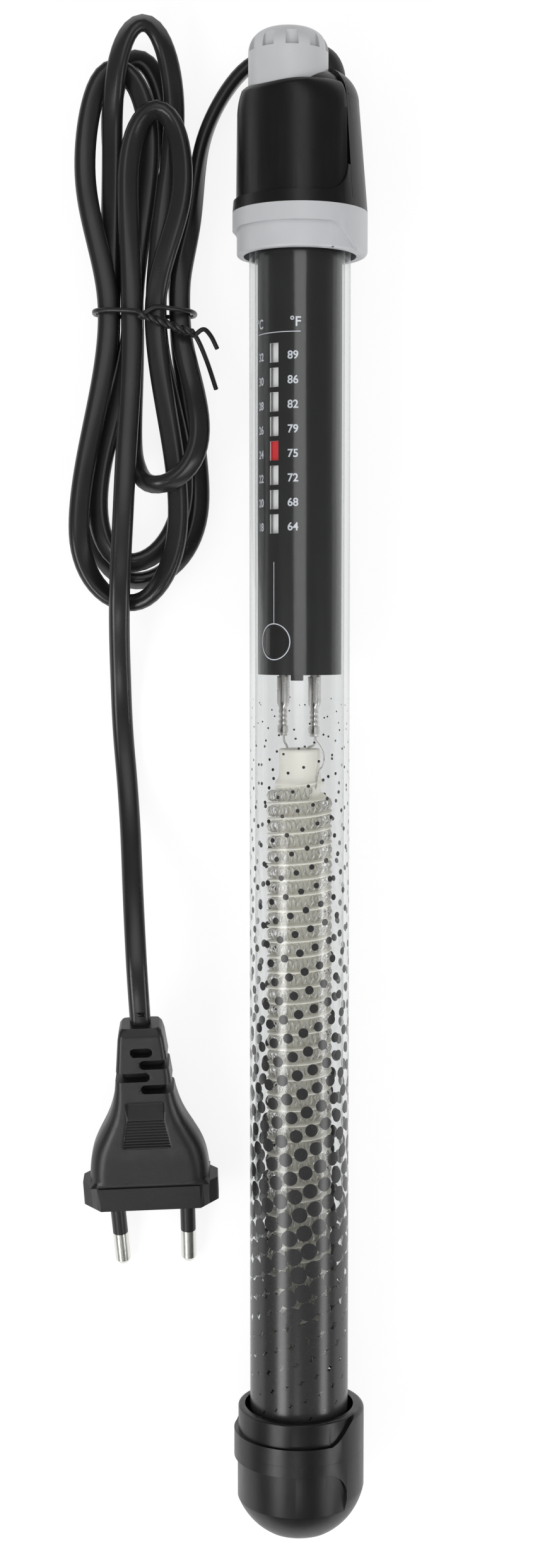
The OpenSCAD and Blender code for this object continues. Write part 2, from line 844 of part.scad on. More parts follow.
// Bracket that stands off the front of the chassis plate round the screw
module screw_bracket(z, bore) {
    difference() {
        translate([-4, -knob_offset - 3.4, z])
            cube([8, knob_offset + 3.4 + plate_y + eps, bracket_t]);
        translate([0, -knob_offset, z - 1])
            cylinder(h = bracket_t + 2, r = bore, $fn = 48);
    }
}

// Frame that reaches round the screw to hold one end of the white backing
module backing_bracket(z) {
    in_r = backing_out_r - backing_t;
    front = sqrt(in_r * in_r - backing_half * backing_half) - seat_gap;
    difference() {
        translate([-frame_half, -front, z])
            cube([2 * frame_half, front + plate_y + eps, frame_h]);
        translate([frame_wall - frame_half, -front + frame_wall, z - 1])
            cube([2 * (frame_half - frame_wall), front, frame_h + 2]);
    }
}

module carrier_frame() {
    color([0.16, 0.16, 0.17]) {
        translate([-plate_half, plate_y, plate_z0])
            cube([2 * plate_half, plate_t, plate_z1 - plate_z0]);
        // end tab that shows below the sleeve
        translate([-tab_w / 2, plate_y, sleeve_z0 - tab_drop])
            cube([tab_w, plate_t, tab_drop + 1.2 + eps]);
        screw_bracket(screw_z0 - 1, screw_journal + slide_gap);
        screw_bracket(screw_z1 + 1, spindle_r + slide_gap);
        backing_bracket(backing_z0);
        backing_bracket(backing_z1 - frame_h);
        // ears for the contact arm's pin
        for (x = [-ear_gap - ear_t, ear_gap])
            difference() {
                translate([x, plate_back - eps, ear_z - 2.4])
                    cube([ear_t, arm_y - plate_back + 2, 4.8]);
                translate([x - 1, arm_y, ear_z])
                    rotate([0, 90, 0])
                        cylinder(h = ear_t + 2, r = arm_pin_r + 0.02, $fn = 48);
            }
        // post under the fixed contact
        translate([-2.2, plate_back - eps, contact_z - 2.2])
            cube([4.4, arm_y - arm_t / 2 - 2 * contact_t - run_gap - plate_back, 4.4]);
    }
}

module arm_pin() {
    color("silver")
        translate([-ear_gap - ear_t, arm_y, ear_z])
            rotate([0, 90, 0])
                cylinder(h = 2 * (ear_gap + ear_t), r = arm_pin_r, $fn = 48);
}

module bimetal_arm() {
    color([0.72, 0.62, 0.42])
        difference() {
            union() {
                translate([-eye_half, arm_y, ear_z])
                    rotate([0, 90, 0])
                        cylinder(h = 2 * eye_half, r = eye_r, $fn = 48);
                translate([-arm_w / 2, arm_y - arm_t / 2, arm_end_z])
                    cube([arm_w, arm_t, ear_z - arm_end_z]);
            }
            translate([-eye_half - 1, arm_y, ear_z])
                rotate([0, 90, 0])
                    cylinder(h = 2 * eye_half + 2, r = arm_pin_r + slide_gap, $fn = 48);
        }
}

// Contact button with its face towards -Y or +Y
module button(y0, y1) {
    translate([0, y0, contact_z])
        rotate([-90, 0, 0])
            cylinder(h = y1 - y0, r = contact_r, $fn = 48);
}

module moving_contact() {
    color("silver")
        button(arm_y - arm_t / 2 - contact_t, arm_y - arm_t / 2);
}

module fixed_contact() {
    face = arm_y - arm_t / 2 - contact_t - run_gap;
    color("silver")
        button(face - contact_t, face);
}

module contact_magnet() {
    color([0.3, 0.3, 0.32])
        translate([-2, plate_back, arm_end_z])
            cube([4, arm_y - arm_t / 2 - 0.6 - plate_back, 4]);
}

// ---------------------------------------------------------------- heating element

module terminal_tabs() {
    color("silver")
        for (x = [-tab_x, tab_x])
            translate([x - 1.4, plate_back, receptacle_z0 + 0.5])
                cube([2.8, tab_t, 12]);
}

// Crimped push-on receptacle: folded box, neck and wire barrel
module receptacle(x) {
    y = plate_back + tab_t / 2;
    color("silver")
        difference() {
            union() {
                translate([x - receptacle_w / 2, y - receptacle_t / 2, receptacle_z0])
                    cube([receptacle_w, receptacle_t, receptacle_h]);
                translate([x - 0.8, y - 0.5, crimp_z0 + 5])
                    cube([1.6, 1, 4]);
                translate([x, y, crimp_z0])
                    cylinder(h = 5.2, r = crimp_r, $fn = 32);
            }
            translate([x - 1.45, y - tab_t / 2 - slide_gap, receptacle_z0 + 0.45])
                cube([2.9, tab_t + 2 * slide_gap, far]);
            translate([x, y, crimp_z0 - 1])
                cylinder(h = 4, r = 0.5, $fn = 24);
        }
}

module receptacle_left() {
    receptacle(-tab_x);
}

module receptacle_right() {
    receptacle(tab_x);
}

lead_r = 0.45;

module element_leads() {
    y = plate_back + tab_t / 2;
    color("silver") {
        // the left lead goes down the middle of the former
        wire([
            [-tab_x, y, crimp_z0 + 2.5], [-tab_x, y, neck_top_z + 1.6],
            [-1.6, 0, neck_top_z + 1.2], [-1.6, 0, neck_top_z - 2]
        ], 0.7, lead_r);
        // the right lead runs down the side of the neck to the winding
        wire([
            [tab_x, y, crimp_z0 + 2.5], [tab_x, y, neck_top_z + 1.4],
            [neck_r + 0.8, y, neck_top_z - 0.6], [neck_r + 0.8, y, shoulder_z + 0.3]
        ], 0.7, lead_r);
    }
}

// Cores of the flex, from the gland down behind the chassis plate
module supply_wires() {
    y = plate_back + core_r + 0.1;
    color("saddlebrown")
        for (side = [-1, 1])
            wire([
                [side * 1.3, gland_back, gland_root_z], [side * 1.3, gland_back, tube_top_z + 4],
                [side * core_x, y, plate_z1 - 2], [side * core_x, y, core_end_z]
            ], 2, core_r);
}

module ceramic_head() {
    color([0.92, 0.9, 0.84])
        difference() {
            union() {
                translate([0, 0, shoulder_z])
                    cylinder(h = neck_h, r = neck_r, $fn = 64);
                translate([0, 0, former_top_z])
                    cylinder(h = shoulder_z - former_top_z, r1 = former_r - 0.6, r2 = neck_r, $fn = 64);
            }
            translate([-1.6, 0, neck_top_z - 3])
                cylinder(h = 4, r = lead_r + 0.1, $fn = 24);
        }
}

// Ceramic former with a helical groove: one closed surface whose profile repeats every turn
module ceramic_former() {
    fin_w = coil_pitch - groove_w;
    heights = [0, groove_w, groove_w + 0.25, coil_pitch - 0.25];
    radii = [groove_r, groove_r, former_r, former_r];
    last = turns * steps;
    wall_z1 = former_len + coil_pitch + former_neck;
    points = concat(
        [for (i = [0 : last], j = [0 : 3])
            [radii[j] * cos(360 * i / steps), radii[j] * sin(360 * i / steps),
             coil_pitch * i / steps + heights[j]]],
        [for (i = [0 : steps - 1])
            [groove_r * cos(360 * i / steps), groove_r * sin(360 * i / steps), -former_foot]],
        [for (i = [0 : steps - 1])
            [groove_r * cos(360 * i / steps), groove_r * sin(360 * i / steps), wall_z1]],
        [for (i = [1 : steps])
            [groove_r * cos(360 * i / steps), groove_r * sin(360 * i / steps),
             former_len + coil_pitch * i / steps]]
    );
    low = 4 * (last + 1);
    high = low + steps;
    rim = high + steps - 1;
    // index of profile corner j at step i; corner 4 is the next turn's corner 0
    function at(i, j) = j < 4 ? 4 * i + j
        : (i + steps <= last ? 4 * (i + steps) : rim + i - last + steps);
    color([0.93, 0.91, 0.85])
        translate([0, 0, former_z0])
            polyhedron(
                points = points,
                faces = concat(
                    [for (i = [0 : last - 1], j = [0 : 3])
                        each [
                            [at(i, j), at(i, j + 1), at(i + 1, j + 1)],
                            [at(i, j), at(i + 1, j + 1), at(i + 1, j)]
                        ]],
                    // plain wall under the first turn
                    [for (i = [0 : steps - 2])
                        each [
                            [low + i, at(i, 0), at(i + 1, 0)],
                            [low + i, at(i + 1, 0), low + i + 1]
                        ]],
                    [for (k = [at(steps, 0), at(0, 1), at(0, 0)])
                        [at(steps - 1, 0), k, k == at(steps, 0) ? at(0, 1)
                            : k == at(0, 1) ? at(0, 0) : low]],
                    [[at(steps - 1, 0), low, low + steps - 1]],
                    // start and end of the fin
                    [[at(0, 1), at(steps, 0), at(0, 3)], [at(0, 1), at(0, 3), at(0, 2)]],
                    [[at(last, 2), at(last, 3), rim + steps], [at(last, 2), rim + steps, at(last, 1)]],
                    // plain wall above the last turn
                    [[rim + 1, at(last, 0), at(last, 1)], [rim + 1, at(last, 1), rim + steps],
                     [rim + 1, rim + steps, high], [rim + 1, high, high + 1]],
                    [for (i = [1 : steps - 1])
                        each [
                            [rim + i, high + i, high + (i + 1) % steps],
                            [rim + i, high + (i + 1) % steps, rim + i + 1]
                        ]],
                    // ends
                    [for (i = [1 : steps - 2]) [low, low + i, low + i + 1]],
                    [for (i = [1 : steps - 2]) [high, high + i + 1, high + i]]
                ),
                convexity = 20
            );
}

// Spiralled resistance wire wound in the groove, one unbroken tube
coil_path = [
    for (i = [0 : (turns - 1) * steps])
        [coil_r * cos(360 * i / steps), coil_r * sin(360 * i / steps),
         coil_pitch * i / steps + groove_w / 2, 0]
];

module heating_coil() {
    color([0.75, 0.73, 0.7])
        translate([0, 0, former_z0])
            sweep(coil_path, round_section(coil_d / 2, 6));
}

module former_pad() {
    color([0.9, 0.88, 0.82])
        translate([0, 0, pad_z0])
            cylinder(h = pad_h, r = groove_r, $fn = 48);
}

// ---------------------------------------------------------------- flex, tie and plug

function ease(t) = (3 - 2 * t) * t * t;
function heights_at(list, u) = let (
    k = min(floor(u * 8), 7)
) list[k] + (list[k + 1] - list[k]) * ease(u * 8 - k);
// Leg from a slot to a side of the loop, t = 0 at the waist
function leg(slot, side, twist, t) = [
    slot[0] + (side[0] - slot[0]) * ease(t),
    waist_y + (side[1] - waist_y) * t,
    twist * side_twist * ease(t)
];
// Quarter ellipse from a side of the loop to its tip
function quarter(side, tip, twist, t) = [
    tip[0] + (side[0] - tip[0]) * cos(90 * t),
    side[1] + (tip[1] - side[1]) * sin(90 * t),
    twist * (side_twist + (1 - side_twist) * ease(t))
];
function lift(p, z) = [p[0], p[1], z, p[2]];
// Points of half loop k, n for each leg and n for each quarter
function half_loop(k, n) = let (
    row = loops[k],
    twist = row[3],
    z = concat([slots[k][1]], row[4], [slots[k + 1][1]])
) concat(
    [for (i = [0 : n - 1]) lift(leg(slots[k], row[0], twist, i / n), heights_at(z, i / n / 4))],
    [for (i = [0 : n - 1])
        lift(quarter(row[0], row[1], twist, i / n), heights_at(z, 0.25 + i / n / 4))],
    [for (i = [0 : n - 1])
        lift(quarter(row[2], row[1], twist, 1 - i / n), heights_at(z, 0.5 + i / n / 4))],
    [for (i = [0 : n - 1])
        lift(leg(slots[k + 1], row[2], twist, 1 - i / n), heights_at(z, 0.75 + i / n / 4))]
);
// Straight ends, square to the stretches that meet the hank
end_run = 5.5;
first_slot = slots[0];
last_slot = slots[len(slots) - 1];
function hank_path(n) = concat(
    [[first_slot[0], waist_y + end_run, first_slot[1], 0]],
    [for (k = [0 : len(loops) - 1]) each half_loop(k, n)],
    [[last_slot[0], waist_y, last_slot[1], 0]],
    [[last_slot[0], waist_y - end_run, last_slot[1], 0]]
);

// Least gap between two turns of the hank, on flat sections with round edges
gap_steps = 9;
gap_skip = 7;
module report_hank_gap() {
    path = hank_path(gap_steps);
    axes = [for (i = [0 : len(path) - 1]) wide_axis(path, i)];
    gaps = [
        for (i = [0 : len(path) - 1], j = [i + gap_skip : 1 : len(path) - 1])
            let (d = xyz(path[j]) - xyz(path[i]), s = norm(d))
                if (s < 9) s - flex_t - flat * (abs(d * axes[i]) + abs(d * axes[j])) / s
    ];
    echo(least_gap_in_hank = min(gaps));
}

module cord_lead() {
    color([0.1, 0.1, 0.1])
        sweep(lead_route, flex_section);
}

module cord_hank() {
    color([0.1, 0.1, 0.1])
        sweep(hank_path(4), flex_section);
    report_hank_gap();
}

module cord_tail() {
    color([0.1, 0.1, 0.1])
        sweep(tail_route, flex_section);
}

// Wire tie: one round the waist, two twisted together, then two free ends
twist_from = [-40.6, 122.4, 15.2];
twist_to = [-27, 118, 12];
twist_turns = 3;
function tie_twist(side) = [
    for (i = [0 : 14])
        let (t = i / 14, a = 360 * twist_turns * t + (side > 0 ? 0 : 180))
            twist_from + (twist_to - twist_from) * t
                + tie_d * 0.62 * [-0.3 * cos(a), 0.9 * cos(a), sin(a)]
];
function with_twist(list) = [for (p = list) [p[0], p[1], p[2], 0]];
tie_band = [
    [-43.6, 123.4, 14.3], [-48.2, 123.7, 13.3], [-51.5, 123.7, 11.6], [-52.3, 123.7, 8.4],
    [-52.2, 123.7, 5], [-50.4, 123.7, 2.3], [-46.2, 123.7, 0.8], [-40, 123.7, 0.7],
    [-31, 123.7, 0.7], [-28, 123.7, 1.1], [-26.9, 123.7, 3.4], [-26.9, 123.7, 7.6],
    [-28.2, 123.8, 10.4], [-32.4, 124, 13.2], [-36.5, 124.1, 14.9]
];

module twist_tie() {
    reversed = [for (i = [14 : -1 : 0]) tie_twist(1)[i]];
    path = concat(
        [[-21.4, 104.8, 4.6], [-23.4, 110.8, 7.6], [-25.4, 115.6, 10.6]],
        reversed,
        tie_band,
        tie_twist(-1),
        [[-24.4, 119, 11.8], [-22.6, 117.6, 10.4], [-21, 114.6, 8.6]]
    );
    color([0.12, 0.12, 0.12])
        sweep(with_twist(path), round_section(tie_d / 2, 6));
}

// Places a plug drawn along +Y, pins towards -Y
module at_plug() {
    translate([plug_at[0], plug_at[1], plug_up])
        rotate([0, 0, plug_yaw])
            rotate([plug_tilt, 0, 0])
                children();
}

plug_end = flange_len + grip_len;
pin_core_r = pin_r - 0.4;   // pin inside its sleeve and in the plug
pin_root = 4.6;             // pin held inside the plug

// Half outline of the grip, widths at distances from the pin face
grip_outline = [
    [15.6, flange_len - eps], [15.5, flange_len + 4], [14.6, flange_len + 9],
    [12.6, flange_len + 13.5], [10.2, flange_len + 17.5], [8.6, flange_len + 21.5],
    [7.6, flange_len + 26], [7, flange_len + 31], [5.9, flange_len + grip_len - 3],
    [5.4, flange_len + grip_len - 0.8], [4.8, flange_len + grip_len]
];
grip_side = [
    [flange_t / 2 - 0.7, flange_len - eps], [flange_t / 2 - 0.9, flange_len + 8],
    [flange_t / 2 - 1.5, flange_len + 18], [5, flange_len + 28],
    [4.4, flange_len + grip_len - 2], [3.6, flange_len + grip_len]
];
function both_sides(list) = concat(
    list, [for (i = [len(list) - 1 : -1 : 0]) [-list[i][0], list[i][1]]]);

// Slot with round ends cut through the strain relief
module relief_slot(x0, x1, y) {
    slot_r = 1.25;
    translate([0, y, -far])
        linear_extrude(height = 2 * far) {
            translate([x0, -slot_r])
                square([x1 - x0, 2 * slot_r]);
            translate([x0, 0])
                circle(r = slot_r, $fn = 24);
            translate([x1, 0])
                circle(r = slot_r, $fn = 24);
        }
}

module plug_body() {
    wf = flange_w / 2;
    tf = flange_t / 2;
    color([0.11, 0.11, 0.11])
        at_plug()
            difference() {
                union() {
                    rotate([-90, 0, 0])
                        linear_extrude(height = flange_len)
                            polygon([
                                [-wf, -tf + chamfer], [-wf + chamfer, -tf], [wf - chamfer, -tf],
                                [wf, -tf + chamfer], [wf, tf - chamfer], [wf - chamfer, tf],
                                [-wf + chamfer, tf], [-wf, tf - chamfer]
                            ]);
                    intersection() {
                        translate([0, 0, -far / 2])
                            linear_extrude(height = far)
                                polygon(both_sides(grip_outline));
                        rotate([0, 90, 0])
                            translate([0, 0, -far / 2])
                                linear_extrude(height = far)
                                    polygon(both_sides(grip_side));
                    }
                }
                // strain relief slots, closed and open by turns
                relief_slot(-1.6, 1.6, plug_end - 6.4);
                relief_slot(0.6, 9, plug_end - 9.8);
                relief_slot(-9, 0.6, plug_end - 13.2);
                relief_slot(0.6, 9, plug_end - 16.6);
                // grip recess and ribs, both faces
                for (face = [-1, 1])
                    for (i = [0 : 6])
                        translate([-5.2 - i * 0.18, flange_len + 9 + i * 1.5, face > 0 ? 5.1 : -7.1])
                            cube([10.4 + i * 0.36, 0.8, 2]);
                for (side = [-1, 1])
                    at_pin(side)
                        translate([0, 0, -pin_root - seat_gap])
                            cylinder(h = pin_root + 2, r = pin_core_r + slide_gap, $fn = 48);
            }
}

// One pin's frame: origin where it leaves the plug, +Z towards its tip
module at_pin(side) {
    translate([side * pin_gap / 2, 0, 0])
        rotate([90, 0, 0])
            rotate([0, -side * pin_lean, 0])
                children();
}

module plug_pins() {
    tip_round = 1;
    color("silver")
        at_plug()
            for (side = [-1, 1])
                at_pin(side)
                    rotate_extrude($fn = 48)
                        polygon([
                            [0, -pin_root], [pin_core_r, -pin_root], [pin_core_r, pin_sleeve_len],
                            [pin_r, pin_sleeve_len], [pin_r, pin_len - tip_round],
                            [pin_r - 0.7, pin_len], [0, pin_len]
                        ]);
}

module pin_sleeves() {
    color([0.09, 0.09, 0.09])
        at_plug()
            for (side = [-1, 1])
                at_pin(side)
                    ring(pin_r, pin_core_r + slide_gap, 0.15, pin_sleeve_len - slide_gap);
}

// ---------------------------------------------------------------- drawing

lay() glass_tube();
lay() head_collar();
lay() head_shell();
lay() head_gasket();
lay() foot_collar();
lay() foot_cup();
lay() foot_cushion();
lay() cord_gland();
lay() dial_bush();
lay() dial_o_ring();
lay() temperature_knob();
lay() dial_spindle();
lay() spindle_clip();
lay() lead_screw();
lay() pointer_nut();
lay() pointer_flag();
lay() scale_sleeve();
lay() scale_backing();
lay() lamp_lens();
lay() neon_lamp();
lay() lamp_resistor();
lay() carrier_frame();
lay() arm_pin();
lay() bimetal_arm();
lay() moving_contact();
lay() fixed_contact();
lay() contact_magnet();
lay() terminal_tabs();
lay() receptacle_left();
lay() receptacle_right();
lay() element_leads();
lay() supply_wires();
lay() ceramic_head();
lay() ceramic_former();
lay() heating_coil();
lay() former_pad();
cord_lead();
cord_hank();
cord_tail();
twist_tie();
plug_body();
plug_pins();
pin_sleeves();
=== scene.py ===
# Submersible aquarium heater, lying on its back with its flex tied in a hank beside it.
import json
import math

import bmesh
import bpy
from mathutils import Matrix, Vector

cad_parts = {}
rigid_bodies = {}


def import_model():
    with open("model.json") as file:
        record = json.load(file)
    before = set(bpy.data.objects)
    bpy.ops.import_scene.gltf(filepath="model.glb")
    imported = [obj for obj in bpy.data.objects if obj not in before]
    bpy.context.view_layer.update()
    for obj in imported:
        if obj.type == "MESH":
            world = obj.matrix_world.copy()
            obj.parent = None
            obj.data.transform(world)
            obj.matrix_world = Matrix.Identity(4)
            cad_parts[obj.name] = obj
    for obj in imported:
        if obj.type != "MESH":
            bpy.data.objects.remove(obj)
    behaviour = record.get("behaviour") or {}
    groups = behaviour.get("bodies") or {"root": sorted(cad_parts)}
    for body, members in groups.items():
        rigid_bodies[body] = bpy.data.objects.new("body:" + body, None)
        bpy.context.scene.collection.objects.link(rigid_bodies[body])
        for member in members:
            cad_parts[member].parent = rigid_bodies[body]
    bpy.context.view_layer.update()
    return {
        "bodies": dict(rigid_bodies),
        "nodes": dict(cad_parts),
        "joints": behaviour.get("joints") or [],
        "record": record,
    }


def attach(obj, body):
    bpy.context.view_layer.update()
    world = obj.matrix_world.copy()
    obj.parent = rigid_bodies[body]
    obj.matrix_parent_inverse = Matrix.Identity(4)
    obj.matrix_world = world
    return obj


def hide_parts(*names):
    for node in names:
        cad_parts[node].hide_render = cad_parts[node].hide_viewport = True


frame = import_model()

nodes = frame["nodes"]

# ------------------------------------------------------------------ Camera
# Looks down on the heater from above its upper half, leaning a little towards
# the foot, with the whole tube and the plug in the frame.
camera_data = bpy.data.cameras.new("camera")
camera_data.lens = 47.83
camera_data.sensor_width = 36
camera_data.clip_start = 0.01
camera = bpy.data.objects.new("camera", camera_data)
camera.location = (-0.0060, 0.0447, 0.5465)
camera.rotation_euler = (math.radians(-4.4), 0, 0)
bpy.context.collection.objects.link(camera)
bpy.context.scene.camera = camera


# ------------------------------------------------------------------ Flex
# Flat twin mains flex, 5.4 by 3.4 mm, with a black rubber sheath over two cores.
# One length from the gland to the plug, folded by hand into a hank of eight half
# loops, with nine strands side by side and on each other where the tie holds them.
class Value:
    """A socket of a finish, which sums and compares like a number."""

    def __init__(self, finish, socket):
        self.finish = finish
        self.socket = socket

    def math(self, operation, first, second=0.0):
        return self.finish.node("Math", {"operation": operation}, {0: first, 1: second})

    def __add__(self, other):
        return self.math("ADD", self, other)

    def __radd__(self, other):
        return self.math("ADD", other, self)

    def __sub__(self, other):
        return self.math("SUBTRACT", self, other)

    def __rsub__(self, other):
        return self.math("SUBTRACT", other, self)

    def __mul__(self, other):
        return self.math("MULTIPLY", self, other)

    def __truediv__(self, other):
        return self.math("DIVIDE", self, other)

    def __pow__(self, other):
        return self.math("POWER", self, other)

    def __gt__(self, other):
        return self.math("GREATER_THAN", self, other)

    def __lt__(self, other):
        return self.math("LESS_THAN", self, other)

    def clipped(self):
        return self.math("MAXIMUM", self.math("MINIMUM", self, 1.0), 0.0)

    def out(self, name):
        return Value(self.finish, self.socket.node.outputs[name])


class Finish:
    """A material, or the room's light, built up from nodes."""

    def __init__(self, name, room=None):
        self.material = room or bpy.data.materials.new(name)
        self.material.use_nodes = True
        self.tree = self.material.node_tree
        self.tree.nodes.clear()

    def node(self, kind, settings=(), values=(), output=0):
        made = self.tree.nodes.new("ShaderNode" + kind)
        for name, setting in dict(settings).items():
            setattr(made, name, setting)
        for key, value in dict(values).items():
            if isinstance(value, Value):
                self.tree.links.new(value.socket, made.inputs[key])
            else:
                made.inputs[key].default_value = value
        return Value(self, made.outputs[output])

    def place(self):
        return self.node("TexCoord", output="Object")

    def noise(self, size, detail=3, rough=0.5, stretch=None):
        """Noise whose lumps are about size millimetres across."""
        place = self.place()
        if stretch:
            place = self.node("VectorMath", {"operation": "MULTIPLY"}, {0: place, 1: stretch})
        return self.node("TexNoise", (), {"Vector": place, "Scale": 1000 / size,
                                          "Detail": detail, "Roughness": rough})

    def mix(self, factor, first, second):
        return self.node("Mix", {"data_type": "RGBA"}, {0: factor, 6: first, 7: second}, output=2)

    def bump(self, height, depth):
        """Relief of depth millimetres."""
        return self.node("Bump", (), {"Height": height, "Distance": depth / 1000, "Strength": 1.0})

    def skin(self, values):
        self.show(self.node("BsdfPrincipled", (), values))

    def show(self, shader, end="OutputMaterial"):
        last = self.tree.nodes.new("ShaderNode" + end)
        self.tree.links.new(shader.socket, last.inputs["Surface"])


def moulded(name, low, high, gloss, grain, depth, uneven=0.22, shine=0.5):
    """Moulded plastic or rubber: clouded colour, uneven gloss and a fine grain."""
    finish = Finish(name)
    cloud = finish.noise(9, 3)
    fine = finish.noise(grain, 4, 0.6)
    scuffs = finish.noise(3, 5, 0.7, (1, 0.25, 1))
    finish.skin({
        "Base Color": finish.mix(cloud, (*low, 1), (*high, 1)),
        "Roughness": gloss + (scuffs - 0.5) * uneven,
        "Normal": finish.bump(fine * 0.7 + cloud * 0.3, depth),
        "Specular IOR Level": shine,
    })
    return finish


def ease(t):
    return (3 - 2 * t) * t * t


waist_y = 123.4
side_twist = 0.25
# Where the strands cross the waist, x and z in millimetres
slots = [
    (-30.6, 7.2), (-42.6, 3.2), (-30.8, 3.2), (-48.5, 5.7), (-36.7, 7.2),
    (-42.6, 7.2), (-48.5, 9.7), (-36.7, 11.2), (-42.6, 11.2),
]
# Each half loop: one side, the tip, the other side, the twist at the tip, heights
half_loops = [
    ((-25.2, 93), (-36.5, 79.4), (-43.2, 92), 60, (10, 14.4, 15.6, 15.2, 9.4, 3.8, 1.9)),
    ((-48.2, 172), (-42, 189.3), (-33.4, 166), 30, (1.8, 2.1, 2.1, 2.4, 2.2, 1.9, 1.8)),
    ((-25.8, 77), (-42.5, 55.4), (-53.6, 72), 60, (1.9, 2.1, 2.7, 3.3, 2.5, 2, 2)),
    ((-47.6, 168), (-39.3, 195.8), (-31.8, 174), 50, (5.9, 6.5, 11.8, 11.8, 8.4, 6.6, 10)),
    ((-29.8, 80), (-44, 59.8), (-52, 75), 45, (5.9, 6.3, 6.8, 7.5, 7.5, 6.6, 6.3)),
    ((-38.2, 166), (-46.8, 185.5), (-54.6, 160), 20, (6.1, 5.7, 6.5, 6.8, 6.3, 7.4, 9.8)),
    ((-56.5, 68), (-43.6, 49.6), (-30.9, 73), 60, (10.1, 10.6, 8, 6.4, 10.8, 11, 10.6)),
    ((-29.4, 156), (-35.8, 174.4), (-43.4, 156), 60, (14, 13.3, 11.9, 12.4, 11.2, 10.6, 10.8)),
]
# Free stretches at the gland and to the plug, x, y, z and twist
lead_route = [
    (-1.8, 187.3, 7.4, 90), (-5.5, 187.9, 7.4, 90), (-9.5, 187.4, 7.3, 90),
    (-13.2, 185.4, 7, 90), (-16.5, 182.2, 6.4, 90), (-19.3, 178.5, 5.8, 90),
    (-21.8, 174.3, 5.2, 90), (-23.8, 169.8, 4.8, 85), (-25.2, 165, 4.8, 80),
    (-26.3, 157, 5.6, 65), (-27.3, 147.5, 6.6, 50), (-28.8, 140.5, 7, 25),
    (-30.1, 134.6, 7.2, 5), (-30.6, 131, 7.2, 0), (-30.6, 128.9, 7.2, 0),
]
tail_route = [
    (-42.6, 117.9, 11.2, 0), (-42.6, 114.9, 11.2, 0), (-42.8, 110, 11.3, 0),
    (-43.3, 100, 12, 0), (-43.9, 90, 13.6, 0), (-44.4, 80, 14.6, 0),
    (-44.9, 71, 14.2, 0), (-45.5, 62, 13.2, 0), (-45.9, 54, 12.8, 0),
    (-46.2, 46, 10.8, 0), (-46.4, 38, 7.2, 0), (-46.4, 30, 4, 0),
    (-46.3, 22, 2.2, 0), (-45.9, 14, 1.7, 0), (-45.2, 6, 2, 0),
    (-44.5, -2, 4, 0), (-43.8, -10, 7.6, 0), (-43.2, -18, 12, 0),
    (-42.6, -26, 16.4, 0), (-42, -34, 19.9, 0), (-41.5, -42, 21.6, 0),
    (-41.1, -49.5, 21.1, 0), (-40.75, -57.2, 19.1, 0),
]


def smooth_line(points, between):
    """Points on a smooth curve through the given ones."""
    ends = [Vector(points[0]) * 2 - Vector(points[1])] + [Vector(p) for p in points]
    ends.append(Vector(points[-1]) * 2 - Vector(points[-2]))
    line = []
    for a, b, c, d in zip(ends, ends[1:], ends[2:], ends[3:]):
        for k in range(between):
            t = k / between
            line.append(0.5 * (2 * b + (c - a) * t + (2 * a - 5 * b + 4 * c - d) * t * t
                               + (3 * b - a - 3 * c + d) * t ** 3))
    line.append(ends[-2])
    return line


def hank_line(each):
    """The route of the folded flex, with each points to a quarter of a half loop."""
    line = []
    for k, (first, tip, second, twist, between) in enumerate(half_loops):
        heights = (slots[k][1], *between, slots[k + 1][1])
        for i in range(4 * each):
            u = i / (4 * each)
            part = min(int(u * 8), 7)
            z = heights[part] + (heights[part + 1] - heights[part]) * ease(u * 8 - part)
            side, slot = (first, slots[k]) if u < 0.5 else (second, slots[k + 1])
            t = 1 - abs(4 * u - 2)      # 0 at the loop's sides, 1 at its tip
            if t < 0:
                t += 1                  # 0 at the waist, 1 at the side
                x = slot[0] + (side[0] - slot[0]) * ease(t)
                y = waist_y + (side[1] - waist_y) * t
                turn = twist * side_twist * ease(t)
            else:
                x = tip[0] + (side[0] - tip[0]) * math.cos(math.pi / 2 * t)
                y = side[1] + (tip[1] - side[1]) * math.sin(math.pi / 2 * t)
                turn = twist * (side_twist + (1 - side_twist) * ease(t))
            line.append(Vector((x, y, z, turn)))
    line.append(Vector((slots[-1][0], waist_y, slots[-1][1], 0)))
    return line


def relaxed(line, apart, passes):
    """The line with its points evenly apart and its bends eased, as the rubber eases them."""
    even, left = [line[0].copy()], apart
    for a, b in zip(line, line[1:]):
        gap = (b - a).to_3d().length
        while gap > 0 and left <= gap:
            even.append(a.lerp(b, left / gap))
            left += apart
        left -= gap
    even[-1] = line[-1].copy()
    for _ in range(passes):
        eased = [(a + 2 * b + c) / 4 for a, b, c in zip(even[1:], even[2:], even[3:])]
        even = even[:2] + eased + even[-2:]
    return even


flex_wide, flex_thin = 5.4, 3.4
point_gap, easing_passes = 2.0, 4
flex_line = relaxed(smooth_line(lead_route, 5)[:-1] + hank_line(14) + smooth_line(tail_route, 5),
                    point_gap, easing_passes)


def swept(shape, edges, places):
    """Sweeps edges of a shape, drawn flat at the origin, through a row of places."""
    ring = list(dict.fromkeys(corner for edge in edges for corner in edge.verts))
    before = Matrix()
    for i, now in enumerate(places):
        if i:
            grown = bmesh.ops.extrude_edge_only(shape, edges=edges)["geom"]
            ring = [g for g in grown if isinstance(g, bmesh.types.BMVert)]
            edges = [g for g in grown if isinstance(g, bmesh.types.BMEdge)
                     and all(v in ring for v in g.verts)]
        bmesh.ops.transform(shape, matrix=now @ before.inverted(), verts=ring)
        before = now


def neighbours(line):
    """Each point of a line with the one before it and the one after it."""
    return zip(line[:1] + line, line, line[1:] + line[-1:])


